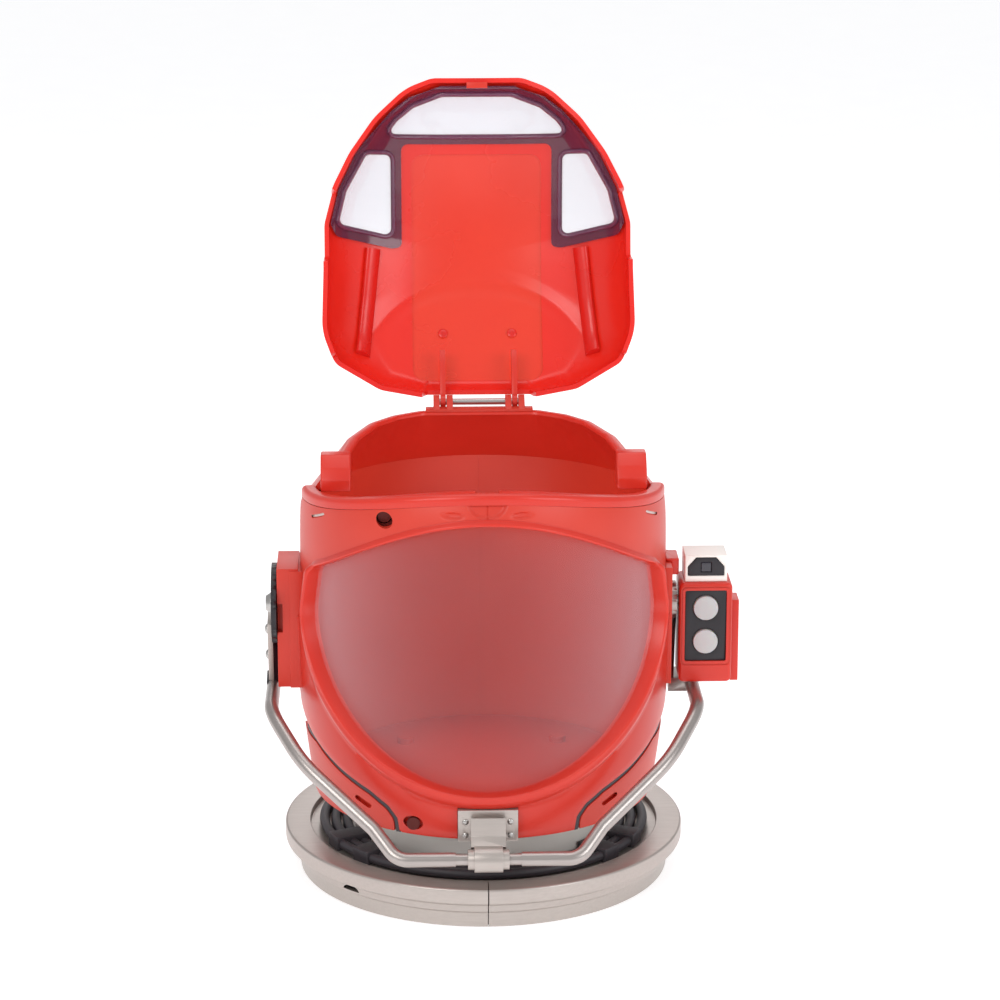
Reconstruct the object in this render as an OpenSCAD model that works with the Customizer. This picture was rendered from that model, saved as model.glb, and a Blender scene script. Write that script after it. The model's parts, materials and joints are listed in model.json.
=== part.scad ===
// Helmet-shaped serving vessel with a hinged crown lid, a clear visor, a swinging bail and a side lamp.
// Origin at the middle of the base's underside, +Z up, the visor faces -Y. The lid is drawn open.

/* [Shell] */
// Widest radius of the shell
shell_r = 86; // [72:1:104]
// Height of the rim of the mouth
rim_z = 204; // [185:1:245]
// Thickness of the shell wall
wall = 2.5; // [2:0.1:3]
// How far the foot of the shell is drawn in from the widest radius
foot_taper = 7.5; // [5:0.5:9]
// How far the top of the shell is drawn in from the widest radius
brow_taper = 7; // [5:0.5:9]
// Height of the lower edge of the shell
shell_z0 = 40; // [36:1:48]
// How far the front rim drops towards its sides
rim_dip = 15; // [10:1:18]
// Height of the sloping shoulder behind the brow
shoulder_h = 26; // [20:1:30]
// Width of the flat rim round the rear of the mouth
deck_w = 5; // [4:0.5:6]

/* [Visor] */
// How far the sides of the opening stand in from the widest radius
visor_side_set = 4.5; // [4:0.5:8]
// Height of the brow above the opening
brow_h = 14; // [12:1:18]
// Height of the chin under the opening
chin_h = 22; // [20:1:26]
// Height of the part of the opening above its widest level
visor_upper_h = 55; // [48:1:60]
// Thickness of the clear pane
pane_t = 2; // [1.5:0.1:2.2]
// Width of the raised lip round the opening
lip_w = 6.3; // [4:0.1:6.3]
// How far the lip stands proud of the shell
lip_proud = 4.5; // [3:0.5:4.5]

/* [Base] */
// How far the base ring stands out beyond the shell
ring_stand_out = 9; // [7:0.5:14]
// Height of the base ring
ring_h = 21; // [20:1:24]
// Wall of the base ring
ring_wall = 2.5; // [2:0.1:3]
// How far the rim of the ring overhangs its band
ring_overhang = 7; // [5:0.5:8]
// Width of the flat top of the ring
ring_deck_w = 12; // [10:0.5:13]
// Outer radius of the neck collar
neck_r = 61.5; // [52:0.5:62]
// Wall of the neck collar
neck_wall = 5; // [4.5:0.1:6]

/* [Hoses] */
// Outside diameter of a hose
hose_d = 4.6; // [3.6:0.1:5]
// Spacing of the hoses
hose_pitch = 5.4; // [5.2:0.1:5.6]

/* [Lid] */
// Height of the crown above the rim
lid_depth = 38; // [32:1:40]
// Wall of the lid
lid_wall = 2.2; // [2:0.1:2.6]
// Thickness of the smoked window moulding
insert_t = 1.4; // [1:0.1:1.8]
// Angle that the lid stands open
open_angle = 102; // [92:1:106]
// Radius of the hinge pin
hinge_pin_r = 1.6; // [1.2:0.1:2]

/* [Bail] */
// Radius of the bail tube
tube_r = 3.3; // [2.8:0.1:3.6]
// Radius of the thinner sleeve in the middle
sleeve_r = 2.75; // [2.2:0.05:2.8]
// Distance of the front run from the foot of the shell
bail_gap = 16.5; // [15:0.5:20]
// How far the front run stays under the lower edge of the shell
bail_drop = 4; // [2:0.5:5]
// Room between the bail and the crown when the bail stands up
bail_over = 19; // [17:1:26]
// Radius of the pivot pins
pivot_pin_r = 2.5; // [2:0.1:3]
// Radius of the black pivot hub
hub_r = 19; // [15:0.5:20]

/* [Lamp] */
// Width of the lamp housing
lamp_w = 25; // [24.5:0.5:30]
// Depth of the lamp housing
lamp_d = 22; // [21.5:0.5:23]
// Height of the lamp housing
lamp_h = 49; // [48:0.5:50]
// Wall of the lamp housing
lamp_wall = 1.8; // [1.5:0.1:2]
// Radius of a lamp button
button_r = 5.8; // [5:0.1:6.2]
// Travel of a lamp button
button_travel = 1.2; // [0.8:0.1:1.4]

/* [Fits] */
// Radial running clearance of a pin in its hole
run_fit = 0.05; // [0.03:0.01:0.1]
// Gap between pieces that slide past each other
slide_gap = 0.4; // [0.3:0.05:0.5]
// Gap round a piece that is dropped into place
seat_gap = 0.2; // [0.1:0.05:0.3]
// Gap under a piece that lies on the shell
skin_gap = 0.1; // [0.08:0.01:0.15]

/* [Hidden] */
$fn = 96;
big = 400;

// Shell
foot_r = shell_r - foot_taper;
brow_r = shell_r - brow_taper;
belly_z = shell_z0 + 0.6 * (rim_z - shell_z0);
deck_t = 5;
deck_z = rim_z - deck_t;
shoulder_z = rim_z - shoulder_h;
lip_t = 5;
foot_flange_t = 2;
foot_flange_r = foot_r - wall - 6;
split_y = -8;
profile_steps = 16;
body_levels = [for (i = [0 : profile_steps]) shell_z0 + (rim_z - shell_z0) * i / profile_steps];

// Visor
visor_half_w = shell_r - visor_side_set;
visor_top_z = rim_z - brow_h;
visor_mid_z = visor_top_z - visor_upper_h;
visor_bottom_z = shell_z0 + chin_h;
corner_x = visor_half_w - 3;
corner_drop = 0.6 * visor_upper_h;
pane_lap = 4;
face_back = 19;
pane_back = face_back - 3;

// Cheeks
chin_half_w = 37;
cheek_x = shell_r - 12;
cheek_z = shell_z0 + chin_h;
cheek_seal_w = 1.6;
// Edge between the face frame and a cheek, from the foot upwards
cheek_edge = [[chin_half_w + 2, shell_z0], [chin_half_w + 3, shell_z0 + 7], [chin_half_w + 7, shell_z0 + 12.5],
    [chin_half_w + 15, cheek_z - 4], [cheek_x - 9, cheek_z + 2], [cheek_x + 3, cheek_z + 10.5]];
cheek_t = 2.6;

// Base
ring_r = shell_r + ring_stand_out;
band_r = ring_r - ring_overhang;
recess_r = ring_r - ring_deck_w;
recess_depth = 3;
recess_z = ring_h - recess_depth;
base_plate_t = 2.5;
screw_r = 1.5;
pilot_r = 1.2;
head_r = 3;
base_post_r = 4;
base_post_at = recess_r - 12;
floor_t = 3;
floor_screw_at = neck_r - neck_wall - 4;
collar_flange_t = 2.5;

// Mouth opening of the rear deck, right half
mouth_rear_y = shell_r - 20;
mouth_pts = [[27, mouth_rear_y], [39, mouth_rear_y - 8], [49, mouth_rear_y - 21], [58, mouth_rear_y - 47],
    [62, split_y], [62, -60], [30, -72]];

// Lid
lid_gap = 0.8;
hinge_y = shell_r - 9;
hinge_z = rim_z + 2.5;
hinge_notch = 27;
strap_x = 17.5;
strap_w = 2.6;
knuckle_r = 3.8;
lug_t = 3;
tab_half_w = 5;
tab_t = 1.8;
tab_drop = 3;
lid_front_y = -(brow_r + 1);
crown_z = rim_z + lid_gap + lid_depth;
lid_side = shell_r - 12;
lid_pts = [[23, lid_front_y], [35, lid_front_y + 5], [50, lid_front_y + 19], [lid_side - 12, lid_front_y + 36],
    [lid_side - 4, lid_front_y + 53], [lid_side, lid_front_y + 70], [lid_side + 1, 12], [lid_side + 2, hinge_y - 35],
    [lid_side - 4, hinge_y - 19], [48, hinge_y - 6], [26, hinge_y - 2]];
// Share of the lid's plan left at each share of its height
crown_steps = [[0, 1], [0.26, 0.97], [0.5, 0.86], [0.74, 0.67], [0.9, 0.48], [1, 0.3]];

// Bail
bail_y = foot_r + bail_gap;
bail_z = shell_z0 - bail_drop;
reach_z = crown_z + bail_over;
pivot_z = (pow(reach_z, 2) - pow(bail_y, 2) - pow(bail_z, 2)) / (2 * (reach_z - bail_z));
bail_reach = reach_z - pivot_z;
bail_stow = atan2(pivot_z - bail_z, bail_y);
arm_stow = 105;
arm_reach = 45;
arm_t = 2.4;
foot_front = 6;
ear_out = shell_r + 10.8;
hub_x = ear_out + slide_gap;
tube_x = hub_x + arm_t / 2 + 1.4;
sleeve_half = 15;
right_arm_x = shell_r + 2.8;
plate_t = 2.4;

// Chin latch
latch_half_w = 13.7;
latch_z = shell_z0 + 0.6;
latch_h = 15;
latch_y = foot_r + 6;
keeper_d = 2.3;
strap_y = latch_y + keeper_d + slide_gap;

// Lamp
lamp_x = right_arm_x + arm_t + 1;
lamp_z = pivot_z - 38;
lamp_mid_x = lamp_x + lamp_w / 2;
lamp_face_t = 2;
lamp_cover_t = 1.8;
face_w = 19.6;
face_h = 35;
face_z = lamp_z + 10.5;
button_x = lamp_mid_x;
button_zs = [face_z + 26.3, face_z + 9.8];
board_t = 1.4;
board_y = -lamp_d / 2 + lamp_face_t + 5.4;
cell_r = 10;
cell_t = 3.2;
camera_w = 20;
camera_d = 17;
camera_h = 13;

function body_r(z) = z < belly_z
    ? shell_r - foot_taper * pow((belly_z - z) / (belly_z - shell_z0), 2.2)
    : shell_r - brow_taper * pow((z - belly_z) / (rim_z - belly_z), 5);
function front_rim(x) = rim_z - rim_dip * pow(x / (shell_r - 8), 2);
function mirrored(pts) = concat(pts, [for (i = [len(pts) - 1 : -1 : 0]) [-pts[i][0], pts[i][1]]]);
function unit(v) = v / norm(v);

// A turned wall between two offsets from the shell's outer curve, cut off at two heights
module turned_wall(outer, inner, z0, z1) {
    zs = concat(body_levels, [rim_z + 10]);
    intersection() {
        rotate_extrude()
            polygon(concat(
                [for (z = zs) [body_r(z) + outer, z]],
                [for (i = [len(zs) - 1 : -1 : 0]) [body_r(zs[i]) + inner, zs[i]]]));
        translate([-big, -big, z0]) cube([2 * big, 2 * big, z1 - z0]);
    }
}

// Pushes a front outline, drawn as X and Z, through the front half
module through_front() {
    rotate([90, 0, 0]) linear_extrude(big) children();
}

module opening_2d(grow = 0) {
    lower = [for (i = [0 : 20]) let (a = 180 + 9 * i)
        [visor_half_w * cos(a), visor_mid_z + (visor_mid_z - visor_bottom_z) * sin(a)]];
    upper = [for (i = [0 : 12]) let (x = corner_x * (1 - i / 6))
        [x, visor_top_z - corner_drop * pow(x / corner_x, 2)]];
    offset(r = grow, $fn = 24) polygon(concat(lower, upper));
}

module frame_2d() {
    union() {
        opening_2d(lip_w);
        polygon(mirrored([for (i = [len(cheek_edge) - 1 : -1 : 0]) cheek_edge[i]]));
    }
}

// Band under the dipped front rim, of the given thickness
module rim_band_2d(drop, thickness) {
    xs = [for (i = [-12 : 12]) (shell_r + 6) * i / 12];
    polygon(concat(
        [for (x = xs) [x, front_rim(x) - drop]],
        [for (i = [24 : -1 : 0]) [xs[i], front_rim(xs[i]) - drop - thickness]]));
}

module half(side) {
    translate([side > 0 ? 0 : -big, -big, -big]) cube([big, 2 * big, 2 * big]);
}

module rear_part() {
    translate([-big, split_y, -big]) cube([2 * big, big, 2 * big]);
}

// Rods along an axis
module along_x(x0, x1, r, y, z) {
    translate([x0, y, z]) rotate([0, 90, 0]) cylinder(r = r, h = x1 - x0);
}

module along_y(x, y0, y1, r, z) {
    translate([x, y0, z]) rotate([-90, 0, 0]) cylinder(r = r, h = y1 - y0);
}

module ring_of(angles, at) {
    for (a = angles) rotate([0, 0, a]) translate([at, 0, 0]) children();
}

// ---- Base ----

base_angles = [30, 150, 210, 330];
neck_angles = [45, 135, 225, 315];

module base_ring(side) {
    union() {
        intersection() {
            difference() {
                rotate_extrude() polygon([
                    [band_r, 0], [band_r, 7], [band_r + 2.5, 8.5], [band_r + 2.5, 11.5], [ring_r, 14],
                    [ring_r, ring_h - 1.2], [ring_r - 1.2, ring_h], [recess_r, ring_h], [recess_r, recess_z],
                    [neck_r - neck_wall, recess_z], [neck_r - neck_wall, recess_z - ring_wall],
                    [recess_r + ring_wall, recess_z - ring_wall], [recess_r + ring_wall, ring_h - ring_wall],
                    [ring_r - ring_wall, ring_h - ring_wall], [ring_r - ring_wall, 15.4], [band_r, 12.8],
                    [band_r, 9.8], [band_r - ring_wall, 8.2], [band_r - ring_wall, 0]]);
                ring_of(neck_angles, neck_r - neck_wall / 2)
                    translate([0, 0, recess_z - 2 * ring_wall]) cylinder(r = screw_r + seat_gap, h = 3 * ring_wall);
            }
            half(side);
        }
        for (a = base_angles) if (sign(cos(a)) == side) rotate([0, 0, a])
            translate([base_post_at, 0, base_plate_t]) difference() {
                cylinder(r = base_post_r, h = recess_z - ring_wall - base_plate_t);
                translate([0, 0, -1]) cylinder(r = pilot_r, h = 9);
            }
    }
}

module base_ring_left() {
    color("silver") base_ring(-1);
}

module base_ring_right() {
    color("silver") base_ring(1);
}

module base_plate() {
    color("dimgray") difference() {
        cylinder(r = band_r - ring_wall - seat_gap, h = base_plate_t);
        ring_of(base_angles, base_post_at) {
            translate([0, 0, -1]) cylinder(r = screw_r + seat_gap, h = 5);
            translate([0, 0, -1]) cylinder(r = head_r + seat_gap, h = 2.4);
        }
    }
}

// Pan-head screw pointing up, head underneath, top of the head at z = 0
module screw(length, head_t = 1.2) {
    union() {
        translate([0, 0, -head_t]) cylinder(r = head_r, h = head_t);
        translate([0, 0, -head_t / 2]) cylinder(r = pilot_r, h = length + head_t / 2);
    }
}

module base_screws() {
    color("gray") ring_of(base_angles, base_post_at) translate([0, 0, 1.4]) screw(8);
}

coupling_angles = [60, 120, 205, 222, 318, 335];
coupling_w = 10;

// One hose, in stretches from each sleeve block to the next
module hose(row) {
    r = neck_r + 4 + row * hose_pitch;
    gap = asin(coupling_w / 2 / (r - hose_d / 2));
    n = len(coupling_angles);
    color([0.2, 0.19, 0.2]) for (i = [0 : n - 1]) {
        stretch = coupling_angles[(i + 1) % n] - coupling_angles[i] + (i == n - 1 ? 360 : 0);
        rotate([0, 0, coupling_angles[i] + gap]) rotate_extrude(angle = stretch - 2 * gap)
            translate([r, recess_z + hose_d / 2 + row * 0.4]) circle(d = hose_d, $fn = 24);
    }
}

module hose_inner() {
    hose(0);
}

module hose_middle() {
    hose(1);
}

module hose_outer() {
    hose(2);
}

// Sleeve blocks that clamp the three hoses side by side
module hose_couplings() {
    color([0.24, 0.23, 0.25]) ring_of(coupling_angles, neck_r + 0.8)
        translate([0, -coupling_w / 2, recess_z]) cube([2 * hose_pitch + 6.2, coupling_w, hose_d + 2]);
}

module neck_collar() {
    color("gainsboro") difference() {
        rotate_extrude() polygon([
            [neck_r, recess_z], [neck_r, shell_z0 - 7], [foot_flange_r + 4, shell_z0 - collar_flange_t],
            [foot_flange_r + 4, shell_z0], [floor_screw_at - 6, shell_z0],
            [floor_screw_at - 6, shell_z0 - collar_flange_t], [neck_r - neck_wall, shell_z0 - collar_flange_t],
            [neck_r - neck_wall, recess_z]]);
        ring_of(neck_angles, neck_r - neck_wall / 2)
            translate([0, 0, recess_z - 1]) cylinder(r = pilot_r, h = 9);
        ring_of(neck_angles, floor_screw_at)
            translate([0, 0, shell_z0 - 4]) cylinder(r = screw_r + seat_gap, h = 6);
    }
}

module neck_screws() {
    color("gray") ring_of(neck_angles, neck_r - neck_wall / 2)
        translate([0, 0, recess_z - ring_wall]) intersection() {
            screw(8);
            translate([0, 0, 4]) cube([2 * (neck_wall - 2), 9, 16], center = true);
        }
}

module bucket_floor() {
    top = shell_z0 + foot_flange_t + floor_t;
    color([0.8, 0.22, 0.17]) difference() {
        union() {
            translate([0, 0, shell_z0 + foot_flange_t])
                cylinder(r = body_r(shell_z0) - wall - seat_gap, h = floor_t);
            ring_of(neck_angles, floor_screw_at) translate([0, 0, shell_z0]) cylinder(r = 4, h = 8);
        }
        ring_of(neck_angles, floor_screw_at)
            translate([0, 0, shell_z0 - 1]) cylinder(r = pilot_r, h = top - shell_z0 + 2);
    }
}

module floor_screws() {
    color("gray") ring_of(neck_angles, floor_screw_at)
        translate([0, 0, shell_z0 - collar_flange_t]) screw(7);
}

// ---- Shell ----

brow_screw = [-46, rim_z - 14.6];
chin_screw = [-34, shell_z0 + 6];
cup_r = 5.2;
cup_hole_r = 3.7;
cup_depth = 8;

function surface_y(x, z) = -sqrt(pow(body_r(z), 2) - x * x);

module shell_half(side) {
    foot_top = shell_z0 + foot_flange_t;
    difference() {
        intersection() {
            rotate_extrude() polygon(concat(
                [for (z = body_levels) [body_r(z), z]],
                [for (i = [profile_steps : -1 : 1]) [body_r(body_levels[i]) - wall, body_levels[i]]],
                [[body_r(foot_top) - wall, foot_top], [foot_flange_r, foot_top], [foot_flange_r, shell_z0]]));
            half(side);
            union() {
                translate([-big, split_y, 0]) cube([2 * big, big, shoulder_z]);
                intersection() {
                    through_front() rim_band_2d(lip_t, rim_z);
                    translate([-big, -big + split_y, 0]) cube([2 * big, big, big]);
                }
            }
        }
        through_front() opening_2d();
        // Round slots of the vents at the sides of the brow and of the cheeks
        through_front() for (x = [-1, 1]) translate([x * (shell_r - 9), rim_z - 22])
            oblong_2d(6, 1.3);
        if (side < 0) along_y(brow_screw[0], -big, 0, cup_hole_r, brow_screw[1]);
    }
}

// Slot outline with round ends
module oblong_2d(length, r) {
    translate([-length / 2 + r, -r]) square([length - 2 * r, 2 * r]);
    for (x = [-1, 1]) translate([x * (length / 2 - r), 0]) circle(r = r, $fn = 16);
}

module screw_cup(at) {
    y0 = surface_y(at[0], at[1]) + wall;
    difference() {
        along_y(at[0], y0, y0 + cup_depth, cup_r, at[1]);
        along_y(at[0], y0 - 1, y0 + cup_depth - 2, cup_hole_r, at[1]);
        along_y(at[0], y0 - 1, y0 + cup_depth + 1, screw_r, at[1]);
    }
}

module shell_left() {
    color([0.88, 0.3, 0.23]) difference() {
        union() {
            shell_half(-1);
            intersection() {
                screw_cup(brow_screw);
                through_front() rim_band_2d(lip_t, rim_z);
            }
        }
        along_x(-shell_r - 9, -shell_r + 9, pivot_pin_r + seat_gap, 0, pivot_z);
    }
}

module shell_right() {
    color([0.88, 0.3, 0.23]) difference() {
        shell_half(1);
        along_x(shell_r - 9, shell_r + 9, pivot_pin_r + seat_gap, 0, pivot_z);
    }
}

// Solid that narrows from the round shell to the outline of the mouth, grown at the top
module shoulder(grow, round_r) {
    hull() {
        translate([0, 0, shoulder_z]) linear_extrude(0.01) circle(r = round_r, $fn = 72);
        translate([0, 0, rim_z - 0.01]) linear_extrude(0.01) offset(delta = grow) polygon(mirrored(mouth_pts));
    }
}

// Room inside the shoulder, open at the mouth and towards the bucket
module shoulder_room() {
    shoulder(0, body_r(shoulder_z) - wall);
    translate([0, 0, rim_z - 0.5]) linear_extrude(20) polygon(mirrored(mouth_pts));
    translate([0, 0, shoulder_z - 1]) cylinder(r = body_r(shoulder_z) - wall, h = 1.01);
}

// Room for the lid's tab and its hook in the front lip, open upwards and to the rear
module tab_pocket() {
    translate([-tab_half_w - slide_gap, lid_front_y + lid_wall - slide_gap, rim_z - tab_drop - slide_gap])
        cube([2 * (tab_half_w + slide_gap), 20, 20]);
}

module rim_collar() {
    lobe_top = rim_z + 0.5;
    color([0.93, 0.33, 0.25]) union() {
        intersection() {
            difference() {
                shoulder(deck_w, body_r(shoulder_z));
                shoulder_room();
            }
            rear_part();
        }
        // Web that closes the step between the brow and the shoulder
        intersection() {
            difference() {
                turned_wall(-wall - skin_gap, -wall - 30, shoulder_z, rim_z);
                shoulder_room();
            }
            through_front() rim_band_2d(lip_t - 0.5, rim_z);
            translate([-big, split_y - 3, 0]) cube([2 * big, 3, big]);
        }
        difference() {
            intersection() {
                turned_wall(1.2, -6, rim_z - 30, rim_z + 1);
                through_front() rim_band_2d(0, lip_t);
                translate([-big, -big + split_y, 0]) cube([2 * big, big, big]);
            }
            tab_pocket();
        }
        // Lobes where the rear deck steps down to the front rim
        intersection() {
            turned_wall(-3, -18, rim_z - 30, rim_z + 8);
            for (side = [-1, 1]) translate([side * 68.5 - 7.5, 0, 0]) rotate([90, 0, 90]) linear_extrude(15)
                polygon([[split_y - 14, rim_z - 16], [split_y, rim_z - 16], [split_y + 5, deck_z],
                    [split_y + 5, rim_z], [split_y + 2, lobe_top], [split_y - 5, lobe_top],
                    [split_y - 14, rim_z - 10]]);
        }
    }
}

module face_frame() {
    color([0.93, 0.27, 0.2]) difference() {
        intersection() {
            turned_wall(lip_proud, skin_gap, shell_z0, rim_z - lip_t);
            through_front() difference() {
                frame_2d();
                opening_2d();
            }
            through_front() rim_band_2d(lip_t + 0.6, rim_z);
            translate([-big, -big - face_back, 0]) cube([2 * big, big, big]);
        }
        along_y(chin_screw[0], -big, 0, cup_hole_r, chin_screw[1]);
        latch_pocket();
    }
}

module visor() {
    color([0.85, 0.9, 0.95, 0.35]) intersection() {
        turned_wall(-wall - skin_gap, -wall - pane_t, shell_z0 + foot_flange_t + floor_t, rim_z - lip_t);
        through_front() opening_2d(pane_lap);
        translate([-big, -big - pane_back, 0]) cube([2 * big, big, big]);
    }
}

module shell_screws() {
    brow_y = surface_y(brow_screw[0], brow_screw[1]) + wall + cup_depth - 2;
    chin_y = surface_y(chin_screw[0], chin_screw[1]);
    color("gray") {
        along_y(brow_screw[0], brow_y - 1.6, brow_y, head_r, brow_screw[1]);
        along_y(brow_screw[0], brow_y, brow_y + 2, pilot_r, brow_screw[1]);
        along_y(chin_screw[0], chin_y - 3.4, chin_y - 1.8, head_r, chin_screw[1]);
    }
}

module cheek_2d(inset) {
    offset(delta = -inset) polygon(concat([[cheek_edge[0][0], 0]], cheek_edge,
        [[shell_r + 30, cheek_z + 12], [shell_r + 30, 0]]));
}

module cheek_panel(side) {
    slot_x = 0.66 * shell_r;
    color([0.9, 0.45, 0.38]) intersection() {
        turned_wall(cheek_t, skin_gap, shell_z0, cheek_z + 14);
        through_front() mirror([side < 0 ? 1 : 0, 0]) difference() {
            cheek_2d(cheek_seal_w + 0.6);
            translate([slot_x, shell_z0 + 11]) rotate(24) oblong_2d(8, 1.5);
        }
    }
}

module cheek_panel_left() {
    cheek_panel(-1);
}

module cheek_panel_right() {
    cheek_panel(1);
}

module cheek_seal(side) {
    color([0.25, 0.24, 0.26]) intersection() {
        turned_wall(lip_proud - 1.5, skin_gap, shell_z0, cheek_z + 14);
        through_front() mirror([side < 0 ? 1 : 0, 0]) difference() {
            cheek_2d(0.3);
            cheek_2d(cheek_seal_w + 0.3);
            opening_2d(lip_w + seat_gap);
        }
    }
}

module cheek_seal_left() {
    cheek_seal(-1);
}

module cheek_seal_right() {
    cheek_seal(1);
}

// ---- Lid, drawn closed and turned open ----

module opened() {
    translate([0, hinge_y, hinge_z]) rotate([-open_angle, 0, 0]) translate([0, -hinge_y, -hinge_z]) children();
}

lug_xs = [-strap_x - strap_w / 2 - slide_gap - lug_t, -strap_x + strap_w / 2 + slide_gap,
    strap_x - strap_w / 2 - slide_gap - lug_t, strap_x + strap_w / 2 + slide_gap];

module hinge_bracket() {
    foot_y = mouth_rear_y + 1;
    color([0.85, 0.28, 0.22]) difference() {
        union() {
            translate([-hinge_notch + 1, foot_y, rim_z])
                cube([2 * hinge_notch - 2, hinge_y - knuckle_r - slide_gap - foot_y, 1.2]);
            for (x = lug_xs) translate([x, 0, 0]) rotate([90, 0, 90]) linear_extrude(lug_t) union() {
                translate([hinge_y, hinge_z]) circle(r = knuckle_r - 0.4);
                polygon([[foot_y, rim_z], [hinge_y - 3.2, rim_z], [hinge_y + 2.4, hinge_z - 2.4],
                    [hinge_y - 1, hinge_z + 3.3], [foot_y, rim_z + 1.2]]);
            }
        }
        along_x(-strap_x - 20, strap_x + 20, hinge_pin_r, hinge_y, hinge_z);
    }
}

module hinge_pin() {
    color("silver") along_x(lug_xs[0], lug_xs[3] + lug_t, hinge_pin_r, hinge_y, hinge_z);
}

// Crown solid, drawn in from its outer face by the given wall
module crown(inset) {
    hull() for (s = crown_steps) translate([0, 6 * (1 - s[1]), rim_z + lid_gap + s[0] * (lid_depth - inset)])
        linear_extrude(0.01) offset(delta = -inset) scale_pts(s[1]);
}

module scale_pts(k) {
    polygon([for (p = mirrored(lid_pts)) k * p]);
}

module crown_wall() {
    difference() {
        crown(0);
        translate([0, 0, -0.02]) crown(lid_wall);
    }
}

// Skirts of the lid: one follows the dipped front rim, one each side hangs over the shoulder
module lid_skirt() {
    skirt_top = 0.2 * lid_depth;
    side_drop = 7;
    intersection() {
        translate([0, 0, rim_z - side_drop]) linear_extrude(side_drop + lid_gap + 1.5) difference() {
            scale_pts(1);
            offset(delta = -lid_wall) scale_pts(1);
        }
        translate([-big, split_y + 15, 0]) cube([2 * big, hinge_y - 22 - split_y, big]);
    }
    intersection() {
        translate([0, 0, rim_z - rim_dip - 4]) linear_extrude(rim_dip + 4 + skirt_top) difference() {
            scale_pts(1);
            offset(delta = -lid_wall) scale_pts(1);
        }
        through_front() rim_band_2d(-lid_gap - skirt_top - rim_dip - 4, skirt_top + rim_dip + 4);
        translate([-big, -big + split_y - 8, 0]) cube([2 * big, big, rim_z + lid_gap + 2]);
    }
}

window_front = [[43, -54], [38, -60], [31, -66], [17, -71.5]];
window_side = [[42, -44], [54, -44], [64, -26], [68, -10], [42, -4]];

module windows_2d(grow = 0) {
    dy = -(shell_r - 86);
    translate([0, dy]) offset(r = grow, $fn = 24) {
        polygon(mirrored(window_front));
        for (side = [0, 1]) mirror([side, 0]) polygon(window_side);
    }
}

module lid_shell() {
    color([0.92, 0.25, 0.2]) opened() difference() {
        union() {
            crown_wall();
            lid_skirt();
        }
        translate([0, 0, rim_z - 30]) linear_extrude(100) windows_2d();
        for (side = [-1, 1]) translate([side * 72 - 15, split_y - 17, rim_z - 20]) cube([30, 32, 24.6]);
        translate([-hinge_notch, hinge_y - 16, rim_z - 5]) cube([2 * hinge_notch, 30, 13]);
    }
}

module window_insert() {
    color([0.4, 0.3, 0.42, 0.5]) opened() difference() {
        intersection() {
            difference() {
                crown(lid_wall + 0.1);
                translate([0, 0, -0.02]) crown(lid_wall + 0.1 + insert_t);
            }
            translate([0, 0, rim_z + 3]) linear_extrude(100) offset(r = 5, $fn = 24) union() {
                windows_2d();
                polygon(mirrored([[42, -44 - shell_r + 86], [43, -54 - shell_r + 86]]));
            }
        }
        for (side = [-1, 1]) translate([side * 72 - 15, split_y - 17, rim_z - 20]) cube([30, 32, 25.4]);
    }
}

// Tab inside the front edge of the lid, with a hook at its lower end
module tab_block() {
    translate([-tab_half_w, lid_front_y + lid_wall, rim_z - tab_drop]) union() {
        cube([2 * tab_half_w, tab_t, tab_drop + 2.8]);
        cube([2 * tab_half_w, tab_t + 1, 1.6]);
    }
}

module snap_tab() {
    color([0.95, 0.2, 0.15]) opened() difference() {
        tab_block();
        crown_wall();
    }
}

module hinge_strap(x) {
    color([0.9, 0.24, 0.19]) opened() translate([x - strap_w / 2, 0, 0]) rotate([90, 0, 90])
        linear_extrude(strap_w) difference() {
            union() {
                translate([hinge_y, hinge_z]) circle(r = knuckle_r);
                polygon([[hinge_y - 3, hinge_z - 1], [hinge_y - 3, hinge_z + 2.4], [hinge_y - 21, rim_z + 15],
                    [hinge_y - 25, rim_z + 15], [hinge_y - 25, rim_z + 10], [hinge_y - 12, rim_z + 3]]);
            }
            translate([hinge_y, hinge_z]) circle(r = hinge_pin_r + run_fit);
        }
}

module hinge_strap_left() {
    hinge_strap(-strap_x);
}

module hinge_strap_right() {
    hinge_strap(strap_x);
}

// ---- Ears and bail ----

module body_solid() {
    rotate_extrude() polygon(concat([[0, shell_z0]], [for (z = body_levels) [body_r(z), z]], [[0, rim_z]]));
}

module ear_block_left() {
    color([0.86, 0.27, 0.21]) difference() {
        union() {
            translate([-shell_r - 5, -16, pivot_z - 37]) cube([13, 32, 57]);
            intersection() {
                translate([-ear_out, -15, pivot_z - 39]) cube([10, 30, 60]);
                along_x(-ear_out - 1, -shell_r + 4, arm_reach - tube_r - 2, 0, pivot_z);
            }
        }
        body_solid();
        translate([-ear_out - 1, -17, pivot_z - 10]) cube([3.5, 6, 14]);
        along_x(-ear_out - 1, -shell_r + 9, pivot_pin_r, 0, pivot_z);
    }
}

module ear_block_right() {
    color([0.86, 0.27, 0.21]) difference() {
        translate([shell_r - 6, -15, pivot_z - 37]) cube([right_arm_x - slide_gap - shell_r + 6, 30, 57]);
        body_solid();
        along_x(shell_r - 9, shell_r + 9, pivot_pin_r, 0, pivot_z);
    }
}

module pivot_pin_left() {
    knob_x = -hub_x - arm_t - slide_gap;
    color("silver") union() {
        along_x(-hub_x - arm_t - 2, -shell_r + 3.5, pivot_pin_r, 0, pivot_z);
        translate([knob_x, 0, pivot_z]) rotate([0, -90, 0]) cylinder(r1 = 5, r2 = 3.4, h = 2.6);
    }
}

module pivot_pin_right() {
    color("silver") along_x(shell_r - 3.5, lamp_x + lamp_wall, pivot_pin_r, 0, pivot_z);
}

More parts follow.
